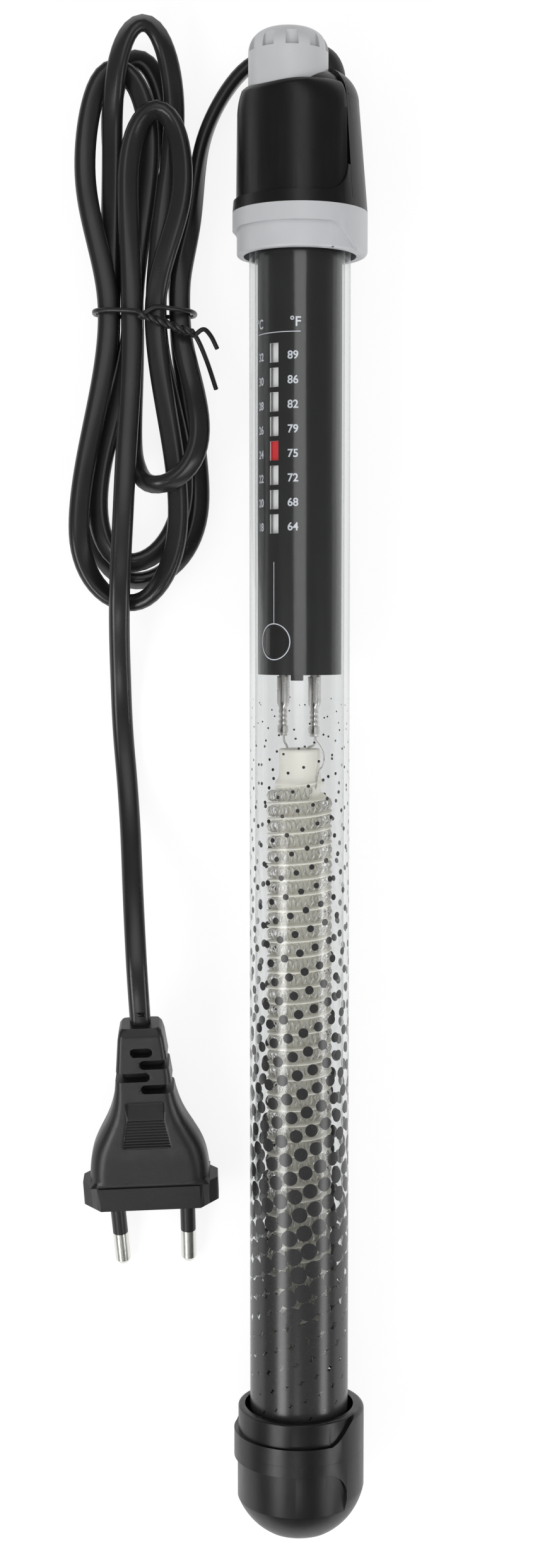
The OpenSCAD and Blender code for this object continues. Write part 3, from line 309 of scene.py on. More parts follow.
def sheath(line, half_wide, half_thin, segments):
    """Sweeps a flat round-edged section along a line of x, y, z and twist."""
    shape = bmesh.new()
    for corner in bmesh.ops.create_circle(shape, segments=segments, radius=half_thin)["verts"]:
        corner.co.x += math.copysign(half_wide - half_thin, corner.co.x)
    places = []
    for last, point, following in neighbours(line):
        ahead = (following - last).to_3d().normalized()
        across = Vector((ahead.y, -ahead.x, 0)).normalized()
        up = across.cross(ahead)
        turn = math.radians(point.w)
        wide = math.cos(turn) * across + math.sin(turn) * up
        place = Matrix((wide, ahead.cross(wide), ahead)).transposed().to_4x4()
        place.translation = point.to_3d()
        places.append(place)
    swept(shape, shape.edges[:], places)
    bmesh.ops.holes_fill(shape, edges=shape.edges, sides=0)
    bmesh.ops.recalc_face_normals(shape, faces=shape.faces)
    return shape


# Millimetres on the table. The standing heater is laid down with its foot at foot_y
# and its axis at axis_z, rolled so that its scale shows.
foot_y, axis_z, roll = -193, 16.9, math.radians(38)
on_table = Matrix.Scale(0.001, 4)
laid_down = (on_table @ Matrix.Translation((0, foot_y, axis_z))
             @ Matrix.Rotation(math.radians(-90), 4, "X") @ Matrix.Rotation(-roll, 4, "Z"))


def placed(name, data, finish, stands_for, body="heater"):
    """Makes a piece of the model from a finished mesh or curve."""
    data.materials.append(finish.material)
    piece = bpy.data.objects.new(name, data)
    bpy.context.collection.objects.link(piece)
    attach(piece, body)
    if stands_for:
        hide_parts(*stands_for)
    return piece


def fitted(name, shape, place, finish, stands_for=(), sharp=40, body="heater"):
    """Puts a finished shape, drawn in millimetres, into the model."""
    bmesh.ops.transform(shape, matrix=place, verts=shape.verts)
    mesh = bpy.data.meshes.new(name)
    shape.to_mesh(mesh)
    shape.free()
    mesh.shade_smooth()
    mesh.set_sharp_from_angle(angle=math.radians(sharp))
    return placed(name, mesh, finish, stands_for, body)


flex_rubber = moulded("flex_rubber", (0.010, 0.010, 0.011), (0.017, 0.017, 0.018), 0.29, 0.5,
                      0.012, uneven=0.14)
flex = fitted("flex", sheath(flex_line, flex_wide / 2, flex_thin / 2, 22), on_table, flex_rubber,
              ("cord_lead", "cord_hank", "cord_tail"))

# ------------------------------------------------------------------ Tie
# Plastic-covered iron wire, put round the hank's waist by hand, its two ends
# twisted together three turns and left free.
tie_d, tie_turns = 1.2, 3
twist_from = Vector((-40.6, 122.4, 15.2))
twist_to = Vector((-27, 118, 12))


def twisted_end(side):
    """One of the two wires in the twist."""
    line = []
    for i in range(41):
        t = i / 40
        a = math.tau * tie_turns * t + (0 if side > 0 else math.pi)
        line.append(twist_from.lerp(twist_to, t)
                    + tie_d * 0.62 * Vector((-0.3 * math.cos(a), 0.9 * math.cos(a), math.sin(a))))
    return line


def drawn_wire(name, line, radius, finish, stands_for, sides=3, widths=None):
    """A round wire along a line of points in metres."""
    wire = bpy.data.curves.new(name, "CURVE")
    wire.dimensions = "3D"
    wire.bevel_depth = radius
    wire.bevel_resolution = sides
    wire.use_fill_caps = True
    run = wire.splines.new("POLY")
    run.points.add(len(line) - 1)
    for i, (point, place) in enumerate(zip(run.points, line)):
        point.co = (*place, 1)
        point.radius = widths[i] if widths else 1
    return placed(name, wire, finish, stands_for)


tie_band = [
    (-43.6, 123.4, 14.3), (-48.2, 123.7, 13.3), (-51.5, 123.7, 11.6), (-52.3, 123.7, 8.4),
    (-52.2, 123.7, 5), (-50.4, 123.7, 2.3), (-46.2, 123.7, 0.8), (-40, 123.7, 0.7),
    (-31, 123.7, 0.7), (-28, 123.7, 1.1), (-26.9, 123.7, 3.4), (-26.9, 123.7, 7.6),
    (-28.2, 123.8, 10.4), (-32.4, 124, 13.2), (-36.5, 124.1, 14.9),
]
one, other = twisted_end(1), twisted_end(-1)
long_end = [(-21.4, 104.8, 4.6), (-23.4, 110.8, 7.6), (-25.4, 115.6, 10.6)]
short_end = [(-24.4, 119, 11.8), (-22.6, 117.6, 10.4), (-21, 114.6, 8.6)]
tie_line = (smooth_line(long_end + [one[-1]], 8)[:-1] + one[::-1][:-1]
            + smooth_line([one[0]] + tie_band + [other[0]], 6)[:-1]
            + other[:-1] + smooth_line([other[-1]] + short_end, 8))
tie_plastic = moulded("tie_plastic", (0.012, 0.012, 0.013), (0.02, 0.02, 0.021), 0.34, 0.7, 0.015)
tie = drawn_wire("wire_tie", [p * 0.001 for p in tie_line], tie_d / 2000, tie_plastic,
                 ("twist_tie",))


# ------------------------------------------------------------------ Plug
# Moulded in black rubber-like vinyl round the two pins: a flange, a waist with a ribbed
# rest for the finger, and slots across the strain relief where the flex comes in.
soft_angle = 35


def rounded(piece, edge, segments, angle):
    """Rounds a piece's sharp edges by edge millimetres."""
    rounding = piece.modifiers.new("rounding", "BEVEL")
    rounding.width = edge / 1000
    rounding.segments = segments
    rounding.limit_method = "ANGLE"
    rounding.angle_limit = math.radians(angle)
    return piece


def softened(name, node, finish, slot, edge, segments=2, reshape=None, frame=laid_down,
             merge=2e-6):
    """A moulded node again, its sharp edges rounded as the tool leaves them."""
    shape = bmesh.new()
    shape.from_mesh(nodes[node].data)
    bmesh.ops.remove_doubles(shape, verts=shape.verts, dist=merge)
    bmesh.ops.dissolve_limit(shape, angle_limit=math.radians(1.5), verts=shape.verts,
                             edges=shape.edges)
    if reshape:
        bmesh.ops.transform(shape, matrix=frame.inverted(), verts=shape.verts)
        reshape(shape)
    piece = fitted(name, shape, frame if reshape else Matrix(), finish, (node,), soft_angle)
    return rounded(piece, edge, segments, soft_angle)


def sliced(shape, normal, places, dist):
    """Cuts the faces of a shape along planes, so that it can bend there."""
    for at in places:
        bmesh.ops.bisect_plane(shape, geom=shape.verts[:] + shape.edges[:] + shape.faces[:],
                               plane_co=Vector(normal) * at, plane_no=normal, dist=dist)


plug_place, plug_yaw, plug_tilt = (-38.7, -106.1, 6.637), 2.4, 14.32
plug_seat = (on_table @ Matrix.Translation(plug_place)
             @ Matrix.Rotation(math.radians(plug_yaw), 4, "Z")
             @ Matrix.Rotation(math.radians(plug_tilt), 4, "X"))
flange_len = 6.5
# Half width, half thickness and edge radius of the grip, at distances from the pin face
grip_wide = [(6.4, 15.6), (10.5, 15.5), (15.5, 14.6), (20, 12.6), (24, 10.2), (28, 8.6),
             (32.5, 7.6), (37.5, 7), (47.5, 5.9), (49.7, 5.4), (50.5, 4.8)]
grip_thick = [(6.4, 6.15), (14.5, 5.95), (24.5, 5.35), (34.5, 5), (48.5, 4.4), (50.5, 3.6)]
grip_edge = [(6.4, 4.4), (20, 4.2), (30, 2.6), (38, 1.5), (50.5, 1.2)]
# The finger rest: ribs, then a ramp down to a step, again from the pin face
rib_from, rib_to, rest_to, rib_pitch, rib_reach = 17.3, 25.3, 29.9, 0.79, 9.7
# Its half width at the step, that width's growth towards the pins, the width of its
# edge, and the depths of the ribs and the ramp
rest_half, rest_flare, rest_edge, rest_sunk, rest_ramp = 4.9, 0.2, 0.4, 0.3, 1.0


def along_table(table, y):
    """The value of a table of y and value, between its rows."""
    for (a, first), (b, second) in zip(table, table[1:]):
        if y < b:
            break
    return first + (second - first) * min(max((y - a) / (b - a), 0), 1)


def gripped(shape):
    """Rounds the grip along its length and sinks the finger rest in both its faces."""
    for corner in shape.verts:
        x, y, z = corner.co
        if 15.4 < y < 26 and abs(x) < 6.9 and abs(z) > 4.95:    # the node's own coarse ribs
            corner.co.z = math.copysign(along_table(grip_thick, y), z)
    bmesh.ops.remove_doubles(shape, verts=shape.verts, dist=1e-3)
    rows = [flange_len + 0.9 * k for k in range(1, 49)] + [rest_to, rest_to + 0.15]
    sliced(shape, (0, 1, 0), rows, 1e-4)
    for normal, places in (
            ((1, 0, 0), (1.5, 3, 4.2, 4.5, 4.8, 5.1, 5.5, 6, 6.5, 7, 7.8, 8.6, 9.4, 10.2, 11,
                         12, 13, 14, 15)),
            ((0, 0, 1), (1.5, 2.2, 2.8, 3.3, 3.8, 4.2, 4.6, 5, 5.4, 5.8))):
        sliced(shape, normal, [side * at for side in (-1, 1) for at in places], 1e-4)
    for corner in shape.verts:
        x, y, z = corner.co
        if y < flange_len + 0.02:
            continue
        wide, thick, edge = (along_table(table, y) for table in (grip_wide, grip_thick, grip_edge))
        across, up = abs(x), abs(z)
        if up > thick - 0.05 and rib_from < y < rest_to + 0.05:
            depth = rest_sunk + rest_ramp * max(0, (y - rib_to) / (rest_to - rib_to))
            room = rest_half + max(0, (rib_to - y) * rest_flare) - across
            up -= depth * min(max(room / rest_edge, 0), 1)
        corner_x, corner_z = across - (wide - edge), up - (thick - edge)
        if corner_x > 0 and corner_z > 0:
            shrink = max(corner_x, corner_z) / math.hypot(corner_x, corner_z)
            across, up = wide - edge + corner_x * shrink, thick - edge + corner_z * shrink
        if 10 < y < 46:
            across *= sum(along_table(grip_wide, y + k) for k in (-2, -1, 0, 1, 2)) / 5 / wide
        corner.co = (math.copysign(across, x), y, math.copysign(up, z))


plug_vinyl = Finish("plug_vinyl")
cloud, fine = plug_vinyl.noise(9, 3), plug_vinyl.noise(0.4, 4, 0.6)
from_plug = plug_seat.inverted()
along, aside = (plug_vinyl.node("VectorMath", {"operation": "DOT_PRODUCT"},
                                {0: plug_vinyl.place(), 1: tuple(from_plug[k][:3])},
                                output="Value") + from_plug[k][3] for k in (1, 0))
rib = along * (1 / rib_pitch)
rib = rib - rib.math("ROUND", rib)
ribbed = ((along > rib_from) * (along < rib_to)
          * ((aside * aside) ** 0.5 + along * rest_flare < rib_reach))
plug_vinyl.skin({
    "Base Color": plug_vinyl.mix(cloud, (0.007, 0.007, 0.0075, 1), (0.013, 0.013, 0.0135, 1)),
    "Roughness": 0.30 + plug_vinyl.noise(5, 4, 0.6) * 0.16,
    "Normal": plug_vinyl.bump(rib * rib * ribbed * 4 + fine * 0.08, 0.3),
})
plug = softened("plug_moulding", "plug_body", plug_vinyl, "black_plastic", 0.3,
                reshape=gripped, frame=plug_seat)
# The flex runs on inside the strain relief. Its piece is coloured near black, darker than the flex
# itself, as painted shade that keeps the slots dark.
core_half_wide, core_half_thin = 5.6, 2.1
core_line = [Vector((*(plug_seat @ Vector((0, y, 0)) * 1000), 0)) for y in (47.5, 44, 40, 35, 29)]
relief_core_painted_shade = moulded("relief_core_painted_shade", (0.003, 0.003, 0.003), (0.005, 0.005, 0.005), 0.6, 0.5, 0.02)
plug_core = fitted("flex_in_plug", sheath(core_line, core_half_wide, core_half_thin, 16),
                   on_table, relief_core_painted_shade)

# Pins of nickel-plated brass, lathe turned, each in a black sleeve for half its
# length; the sleeves are moulded on.
pin_metal = Finish("pin_metal")
brushed = pin_metal.noise(0.5, 4, 0.6, (1, 0.15, 1))
pin_metal.skin({
    "Base Color": pin_metal.mix(pin_metal.noise(4, 2), (0.74, 0.73, 0.68, 1),
                                (0.86, 0.86, 0.82, 1)),
    "Metallic": 1.0,
    "Roughness": 0.22 + brushed * 0.16,
    "Normal": pin_metal.bump(brushed, 0.004),
})


def dress(finish, *names):
    """Gives a finish to nodes whose own shape is kept."""
    for name in names:
        for slot in nodes[name].material_slots:
            slot.material = finish.material


dress(pin_metal, "plug_pins")
dress(moulded("pin_vinyl", (0.012, 0.012, 0.013), (0.018, 0.018, 0.019), 0.36, 0.5, 0.01),
      "pin_sleeves")

flex_length = sum((b - a).to_3d().length for a, b in zip(flex_line, flex_line[1:])) / 1000
[tuple(p.to_3d() * 0.001) for p in flex_line]

# ------------------------------------------------------------------ Gland
# Soft black rubber gland that seals the flex into the head behind the knob,
# pulled in from below and bent over flat towards the hank.
seal_rubber = moulded("seal_rubber", (0.010, 0.010, 0.011), (0.016, 0.016, 0.017), 0.46, 0.4, 0.02)
dress(seal_rubber, "head_gasket", "foot_cushion", "dial_o_ring")
gland_line = smooth_line([
    (7.39, 174, 7.44, 3.2), (7.39, 179.5, 7.44, 3.2), (7.39, 181.2, 7.44, 4.1),
    (7.3, 183.2, 7.44, 4.15), (6.3, 185.6, 7.44, 4.0), (4.2, 187.1, 7.44, 3.7),
    (1.6, 187.6, 7.44, 3.4), (-0.6, 187.55, 7.44, 3.2), (-2.4, 187.4, 7.42, 3.05),
], 4)
drawn_wire("gland", [p.to_3d() * 0.001 for p in gland_line], 0.001, seal_rubber,
           ("cord_gland",), sides=8, widths=[p.w for p in gland_line])

# ------------------------------------------------------------------ Glass tube
# Clear borosilicate tube, 25.4 mm across with a 1.4 mm wall, melted shut into a
# ball at the foot and ground flat at the top, where the head shell takes it.
tube_r, tube_in_r, ball_z, tube_end_z = 12.7, 11.3, 24.3, 347.7


def turned(outline, steps=96):
    """Spins an outline of radius and height about the heater's axis."""
    shape = bmesh.new()
    corners = [shape.verts.new((r, 0, z)) for r, z in outline]
    edges = [shape.edges.new(pair) for pair in zip(corners, corners[1:])]
    bmesh.ops.spin(shape, geom=corners + edges, axis=(0, 0, 1), cent=(0, 0, 0),
                   angle=math.tau, steps=steps, use_merge=True)
    bmesh.ops.remove_doubles(shape, verts=shape.verts, dist=1e-4)
    bmesh.ops.recalc_face_normals(shape, faces=shape.faces)
    return shape


def ball_end(r, a, b, count):
    """Points along the round end of the tube, angles from straight down."""
    return [(r * math.sin(math.radians(a + (b - a) * i / count)),
             ball_z - r * math.cos(math.radians(a + (b - a) * i / count)))
            for i in range(count + 1)]


clear_glass = Finish("clear_glass")
facing = clear_glass.node("LayerWeight", (), {"Blend": 0.5}, output="Facing")
ripple = clear_glass.bump(clear_glass.noise(14, 2, 0.4, (1, 0.12, 1)), 0.5)
# The transparent tint is partly the glass's own and partly painted shade for the shadowed table
# seen through the tube. The grey diffuse wall mixed in towards the edges is painted shade, standing
# in for the darker surroundings that the thick wall shows by refraction.
through = clear_glass.node("BsdfTransparent", (), {"Color": (0.938, 0.942, 0.943, 1)})
shine = clear_glass.node("BsdfGlossy", (), {"Color": (1, 1, 1, 1), "Roughness": 0.14,
                                            "Normal": ripple})
wall = clear_glass.node("BsdfDiffuse", (), {"Color": (0.56, 0.60, 0.60, 1)})
polished = clear_glass.node("MixShader", (), {0: 0.042 + facing ** 5 * 0.8, 1: through, 2: shine})
clear_glass.show(clear_glass.node("MixShader", (), {0: facing ** 5 * 0.6, 1: polished, 2: wall}))
rim = [(tube_r, tube_end_z - 0.3), (tube_r - 0.3, tube_end_z), (tube_in_r + 0.3, tube_end_z),
       (tube_in_r, tube_end_z - 0.3)]
fitted("glass_tube_clear",
       turned(ball_end(tube_r, 0, 90, 24) + rim + ball_end(tube_in_r, 90, 0, 24)),
       laid_down, clear_glass, ("glass_tube",), sharp=30)

# ------------------------------------------------------------------ Dot print
# Dark enamel dots fired on the outside of the lower glass, so that the element
# fades from sight: 0.4 mm at the top, growing until they close up over the foot.
enamel = Finish("enamel")
place = enamel.node("SeparateXYZ", (), {0: enamel.place()})
along = place.out("Y") * 1000
arc = enamel.node("Math", {"operation": "ARCTAN2"},
                  {0: place.out("X") * 1000, 1: place.out("Z") * 1000 - axis_z}) * tube_r
# The two steps from dot to dot, and one dot's place, in arc and along the tube
across_step, down_step, dot_zero = (-3.9, -1.45), (1.2, -4.7), (0.88, 9.07)
area = across_step[0] * down_step[1] - across_step[1] * down_step[0]
s, y = arc - dot_zero[0], along - dot_zero[1]
u = (s * down_step[1] - y * down_step[0]) / area
v = (y * across_step[0] - s * across_step[1]) / area
u = u - u.math("ROUND", u)
v = v - v.math("ROUND", v)
off = ((u * across_step[0] + v * down_step[0]) ** 2
       + (u * across_step[1] + v * down_step[1]) ** 2) ** 0.5
dots_from, least_dot, dot_edge = 24, 0.4, 0.06
down = dots_from - along
dot = least_dot + down * 0.0225 + down * down * 0.000042
printed = ((dot / 2 - off) / dot_edge + 0.5).clipped()
fade = enamel.noise(0.8, 3)
enamel.skin({
    "Base Color": enamel.mix(fade, (0.018, 0.018, 0.019, 1), (0.026, 0.026, 0.027, 1)),
    "Roughness": 0.22 + fade * 0.08,
    "Alpha": printed,
    "Normal": enamel.bump(fade, 0.004),
})
print_r, print_z0, print_z1 = tube_r + 0.02, 33, 219
fitted("dot_print", turned([(print_r, print_z0), (print_r, print_z1)], 120), laid_down, enamel)

# ------------------------------------------------------------------ Head and foot
# Injection moulded in black: the head shell with its recessed front and sloping
# top, the foot collar and the ball-shaped foot cup, spark-eroded to a fine grain.
head_black = moulded("head_black", (0.0035, 0.0035, 0.0038), (0.006, 0.006, 0.0063), 0.36, 0.28,
                     0.010, shine=0.42)
shell_z, panel_r, well_r, well_out = 339.7, 16.0, 10.2, 4.8
# The rounding of the panel's top: its start over shell_z, its height and depth, and
# its reach to each side in degrees
top_start, top_tall, top_deep, top_reach = 23.4, 7, 3.1, 84.3
# The shell's wall at a groove: its radius, what its straight part draws in, that part's
# height and the shoulder's radius; the fillers' place and width in degrees
wall_r, wall_in, wall_tall, shoulder_r = 16.92, 2.2, 26.5, 8
filler_at, filler_wide = 92, 4.2


def arched(shape, outline, start, angle, steps):
    """Adds part of a ring, an outline of radius and height swung round from start."""
    place = Matrix.Rotation(start, 4, "Z")
    corners = [shape.verts.new(place @ Vector((0, -r, z))) for r, z in outline]
    face = shape.faces.new(corners)
    bmesh.ops.spin(shape, geom=[face] + face.edges[:] + corners, axis=(0, 0, 1), cent=(0, 0, 0),
                   angle=angle, steps=steps)
    return corners


def eased_front(shape):
    """Rounds the top of the raised front panel and narrows the grooves beside it."""
    sliced(shape, (0, 0, 1), [shell_z + top_start + 0.1 + 0.7 * i for i in range(10)], 1e-3)
    for corner in shape.verts:
        x, y, z = corner.co
        turn, out = math.atan2(x, -y), math.hypot(x, y)
        rise = min((z - shell_z - top_start) / top_tall, 1)
        if rise > 0 and abs(turn) < math.radians(top_reach):
            well = (well_out * math.cos(turn)
                    + math.sqrt(well_r ** 2 - (well_out * math.sin(turn)) ** 2))
            most = panel_r - 0.3
            most -= min(top_deep, 0.9 * (most - well)) * (1 - math.sqrt(1 - rise ** 2))
            if out > max(most, well + 0.02):
                corner.co.x, corner.co.y = x * most / out, y * most / out
    wall = [(wall_r - wall_in * t, shell_z + wall_tall * t) for t in (0.08, 0.3, 0.6, 0.8, 1)]
    for lean in (10, 20, 30, 40, 48):
        wall.append((wall_r - wall_in - shoulder_r * (1 - math.cos(math.radians(lean))),
                     shell_z + wall_tall + shoulder_r * math.sin(math.radians(lean))))
    wall += [(12, wall[-1][1] - 0.3), (13, shell_z + 25), (13.5, wall[0][1])]
    for side in (-1, 1):
        corners = arched(shape, wall, math.radians(filler_at * side),
                         math.radians(-filler_wide * side), 3)
        started = {face for corner in corners for face in corner.link_faces}
        bmesh.ops.recalc_face_normals(shape, faces=list(started))


softened("head_moulding", "head_shell", head_black, "black_plastic", 0.35, reshape=eased_front)
collar_edge = {"edge": 0.35, "segments": 3, "merge": 2.5e-4}
softened("foot_collar_moulding", "foot_collar", head_black, "black_plastic", **collar_edge)
foot_flat_z = 2.4


def flattened(shape):
    """Gives the end of the foot its small flat."""
    for corner in shape.verts:
        corner.co.z = max(corner.co.z, foot_flat_z)


softened("foot_moulding", "foot_cup", head_black, "black_plastic", 0.4, segments=3,
         reshape=flattened)

# Grey collar of the same tool as the foot's, gripping the glass under the head.
head_grey = moulded("head_grey", (0.43, 0.435, 0.45), (0.48, 0.485, 0.50), 0.38, 0.3, 0.008)
softened("head_collar_moulding", "head_collar", head_grey, "grey_plastic", **collar_edge)

# ------------------------------------------------------------------ Knob
# Temperature knob, moulded in grey with a hollow underside, pressed on its spindle
# in the head's well. Ten finger recesses run up the side into the crowned top.
knob_r, knob_y, knob_z0, knob_z1, knob_round = 9.9, -well_out, 363.7, 384.2, 5.6
bore_r, bore_z, hollow_r, hollow_z = 3.6, 372, 8.1, knob_z0 + 3.8
# The recesses: their lower end, depth and inner limit, then the first one's place,
# their pitch and half their width in degrees
recess_z, recess_deep, recess_in = 377.7, 1.3, 8
recess_turn, recess_pitch, recess_half = 7.6, 36, 9.2
knob_grey = moulded("knob_grey", (0.44, 0.445, 0.455), (0.50, 0.505, 0.515), 0.38, 0.3, 0.008)
underside = [(0, bore_z), (bore_r - 0.1, bore_z), (bore_r, bore_z - 0.1), (bore_r, hollow_z + 0.2),
             (bore_r + 0.2, hollow_z), (hollow_r - 0.2, hollow_z), (hollow_r, hollow_z - 0.2),
             (hollow_r, knob_z0 + 0.3), (hollow_r + 0.3, knob_z0), (knob_r - 0.4, knob_z0)]
side = [(knob_r, z) for z in (knob_z0 + 0.4, recess_z - 4, recess_z - 0.3, recess_z)]
round_z = knob_z1 - 0.8 - knob_round
crown = [(knob_r - knob_round + knob_round * math.cos(math.radians(5 * i)),
          round_z + knob_round * math.sin(math.radians(5 * i))) for i in range(18)]
crown += [(3, knob_z1 - 0.42), (1.8, knob_z1 - 0.15), (0.8, knob_z1 - 0.03), (0, knob_z1)]
knob_shape = turned(underside + side + crown, 180)


def in_recess(face):
    """Whether a face of the knob's skin lies in one of the finger recesses."""
    x, y, z = face.calc_center_median()
    turn = (math.degrees(math.atan2(x, -y)) - recess_turn) % recess_pitch
    return (min(turn, recess_pitch - turn) < recess_half and z > recess_z
            and math.hypot(x, y) > recess_in)


def sunk(corner):
    """Pushes a corner straight in to the recess's flat back."""
    first, pitch = math.radians(recess_turn), math.radians(recess_pitch)
    turn = round((math.atan2(corner.co.x, -corner.co.y) - first) / pitch) * pitch + first
    out = Vector((math.sin(turn), -math.cos(turn), 0))
    corner.co -= out * max(corner.co.dot(out) - (knob_r - recess_deep), 0)


skin = [face for face in knob_shape.faces if in_recess(face)]
for part in bmesh.ops.extrude_face_region(knob_shape, geom=skin)["geom"]:
    if isinstance(part, bmesh.types.BMVert):
        sunk(part)
bmesh.ops.delete(knob_shape, geom=skin, context="FACES")
bmesh.ops.remove_doubles(knob_shape, verts=knob_shape.verts, dist=1e-3)
bmesh.ops.recalc_face_normals(knob_shape, faces=knob_shape.faces)
knob_place = laid_down @ Matrix.Translation((0, knob_y, 0))
rounded(fitted("knob_moulding", knob_shape, knob_place, knob_grey,
               ("temperature_knob",), sharp=30, body="dial"), 0.3, 3, 40)

# ------------------------------------------------------------------ Spindle and lead screw
# Turned steel spindle held by a clip under a brass bush, and the steel lead
# screw below it, whose one steep groove drives the pointer's nut.
def metal(name, low, high, gloss, uneven, depth, marks, metallic=1.0):
    """Bare metal, its colour, gloss and surface uneven by one noise of marks."""
    finish = Finish(name)
    worn = finish.noise(*marks)
    finish.skin({
        "Base Color": finish.mix(worn, (*low, 1), (*high, 1)),
        "Metallic": metallic,
        "Roughness": gloss + worn * uneven,
        "Normal": finish.bump(worn, depth),
    })
    return finish


turned_brass = metal("turned_brass", (0.55, 0.36, 0.12), (0.70, 0.50, 0.20), 0.25, 0.2, 0.004,
                     (0.4, 3, 0.6, (1, 0.1, 1)))
dress(turned_brass, "dial_bush")
bright_steel = metal("bright_steel", (0.42, 0.43, 0.44), (0.62, 0.63, 0.64), 0.26, 0.22, 0.006,
                     (0.6, 4, 0.6, (1, 0.08, 1)))
dress(bright_steel, "dial_spindle", "spindle_clip", "lead_screw", "arm_pin")

# ------------------------------------------------------------------ Nut and pointer
# White nylon nut on the screw, and on it the moulded red flag that shows in the
# windows of the scale.
dress(moulded("nylon", (0.62, 0.62, 0.59), (0.70, 0.70, 0.67), 0.42, 0.4, 0.01), "pointer_nut")
dress(moulded("flag_red", (0.70, 0.026, 0.034), (0.80, 0.036, 0.044), 0.4, 0.5, 0.008),
      "pointer_flag")

# ------------------------------------------------------------------ Scale
# Dark plastic sleeve with eight windows and a round hole for the lamp, a white
# strip behind the windows, and pale screen-printed numbers.
sleeve_r, sleeve_z0 = 10.6, 224.9
# The top window's middle and half its height, the rows' pitch, half a window in radians
window_z, window_top, window_pitch, window_half = 304.43, 2.37, 6, 0.16
sleeve_ink = Finish("sleeve_ink")
spot = sleeve_ink.node("SeparateXYZ", (), {0: sleeve_ink.place()})
across, height = spot.out("X") * 1000, spot.out("Z") * 1000 - axis_z
out = (across * across + height * height) ** 0.5
row = (window_z + window_top + foot_y - spot.out("Y") * 1000) / window_pitch
turned_to = sleeve_ink.node("Math", {"operation": "ARCTAN2"}, {0: across, 1: height}) + roll
# The windows' side walls, just inside the sleeve's surface, are painted white as painted light: it
# stands in for the light that the deep windows lose, so they look as bright as the strip behind.
window_walls_painted_light = ((out < sleeve_r - 0.04) * (turned_to > -window_half) * (turned_to < window_half)
               * (row > -0.005) * (row < 7.8))
ground = sleeve_ink.noise(7, 3)
sleeve_black = sleeve_ink.mix(ground, (0.006, 0.006, 0.0065, 1), (0.010, 0.010, 0.0105, 1))
sleeve_ink.skin({
    "Base Color": sleeve_ink.mix(window_walls_painted_light, sleeve_black, (0.80, 0.81, 0.80, 1)),
    "Roughness": 0.42 + (ground - 0.5) * 0.1,
    "Normal": sleeve_ink.bump(sleeve_ink.noise(0.3, 3), 0.006),
})
dress(sleeve_ink, "scale_sleeve")
strip_white = moulded("strip_white", (0.92, 0.92, 0.91), (0.95, 0.95, 0.94), 0.5, 0.8, 0.005)
strip_in, strip_out, strip_z0, strip_z1, strip_half = 8.85, 9.25, 255.6, 311.3, 0.35
white_strip = bmesh.new()
arched(white_strip, [(strip_in, strip_z0), (strip_out, strip_z0), (strip_out, strip_z1),
                     (strip_in, strip_z1)], -strip_half, 2 * strip_half, 12)
bmesh.ops.recalc_face_normals(white_strip, faces=white_strip.faces)
fitted("white_strip", white_strip, laid_down, strip_white, ("scale_backing",))
ink_thick = 0.024


def add_words(flat, words, height, s, z):
    """Adds printed words, their middle at arc s and height z, to a flat sheet."""
    letters = bpy.data.curves.new("letters", "FONT")
    letters.body = words
    letters.size = height / 0.7
    letters.align_x = letters.align_y = "CENTER"
    letters.offset = 0.055
    letters.extrude = ink_thick / 2
    sign = bpy.data.objects.new("letters", letters)
    bpy.context.collection.objects.link(sign)
    bpy.context.view_layer.update()
    built = sign.evaluated_get(bpy.context.evaluated_depsgraph_get())
    mesh = bpy.data.meshes.new_from_object(built)
    mesh.transform(Matrix.Translation((s, z, 0)))
    flat.from_mesh(mesh)
    bpy.data.objects.remove(sign)
    bpy.data.meshes.remove(mesh)


def add_bar(flat, s0, s1, z0, z1):
    """Adds a thin printed bar to a flat sheet."""
    middle = Matrix.Translation(((s0 + s1) / 2, (z0 + z1) / 2, 0))
    bmesh.ops.create_cube(flat, size=1,
                          matrix=middle @ Matrix.Diagonal((s1 - s0, z1 - z0, ink_thick, 1)))


def wrapped(flat, radius):
    """Bends a flat sheet of arc, height and thickness round the heater's axis."""
    sliced(flat, (1, 0, 0), [cut * 0.5 for cut in range(-24, 25)], 1e-5)
    for corner in flat.verts:
        s, z, out = corner.co
        out += radius
        corner.co = (out * math.sin(s / radius), -out * math.cos(s / radius), z)
    return flat


scale = bmesh.new()
fahrenheit, celsius = (89, 86, 82, 79, 75, 72, 68, 64), (32, 30, 28, 26, 24, 22, 20, 18)
number_tall, number_s, unit_tall, unit_s, unit_z = 1.95, 5.2, 2.3, 5.8, 311.7
for row, (warm, cool) in enumerate(zip(fahrenheit, celsius)):
    row_z = window_z - window_pitch * row - 0.8
    add_words(scale, str(warm), number_tall, number_s, row_z)
    add_words(scale, str(cool), number_tall, -number_s, row_z)
add_words(scale, "°F", unit_tall, unit_s, unit_z)
add_words(scale, "°C", unit_tall, -unit_s, unit_z)
add_bar(scale, -7.1, 7.1, 309.3, 309.5)
add_bar(scale, -0.09, 0.09, 237.7, 253)
lens_middle = Matrix.Translation((0, sleeve_z0 + 8.3, 0))
rims = set()
for r in (4.35, 4.6):
    ring = bmesh.ops.create_circle(scale, segments=64, radius=r, matrix=lens_middle)["verts"]
    rims.update(e for v in ring for e in v.link_edges)
bmesh.ops.bridge_loops(scale, edges=list(rims))
white_ink = moulded("white_ink", (0.66, 0.69, 0.74), (0.74, 0.77, 0.82), 0.5, 0.3, 0.003)
fitted("scale_print", wrapped(scale, sleeve_r + 0.025), laid_down, white_ink)

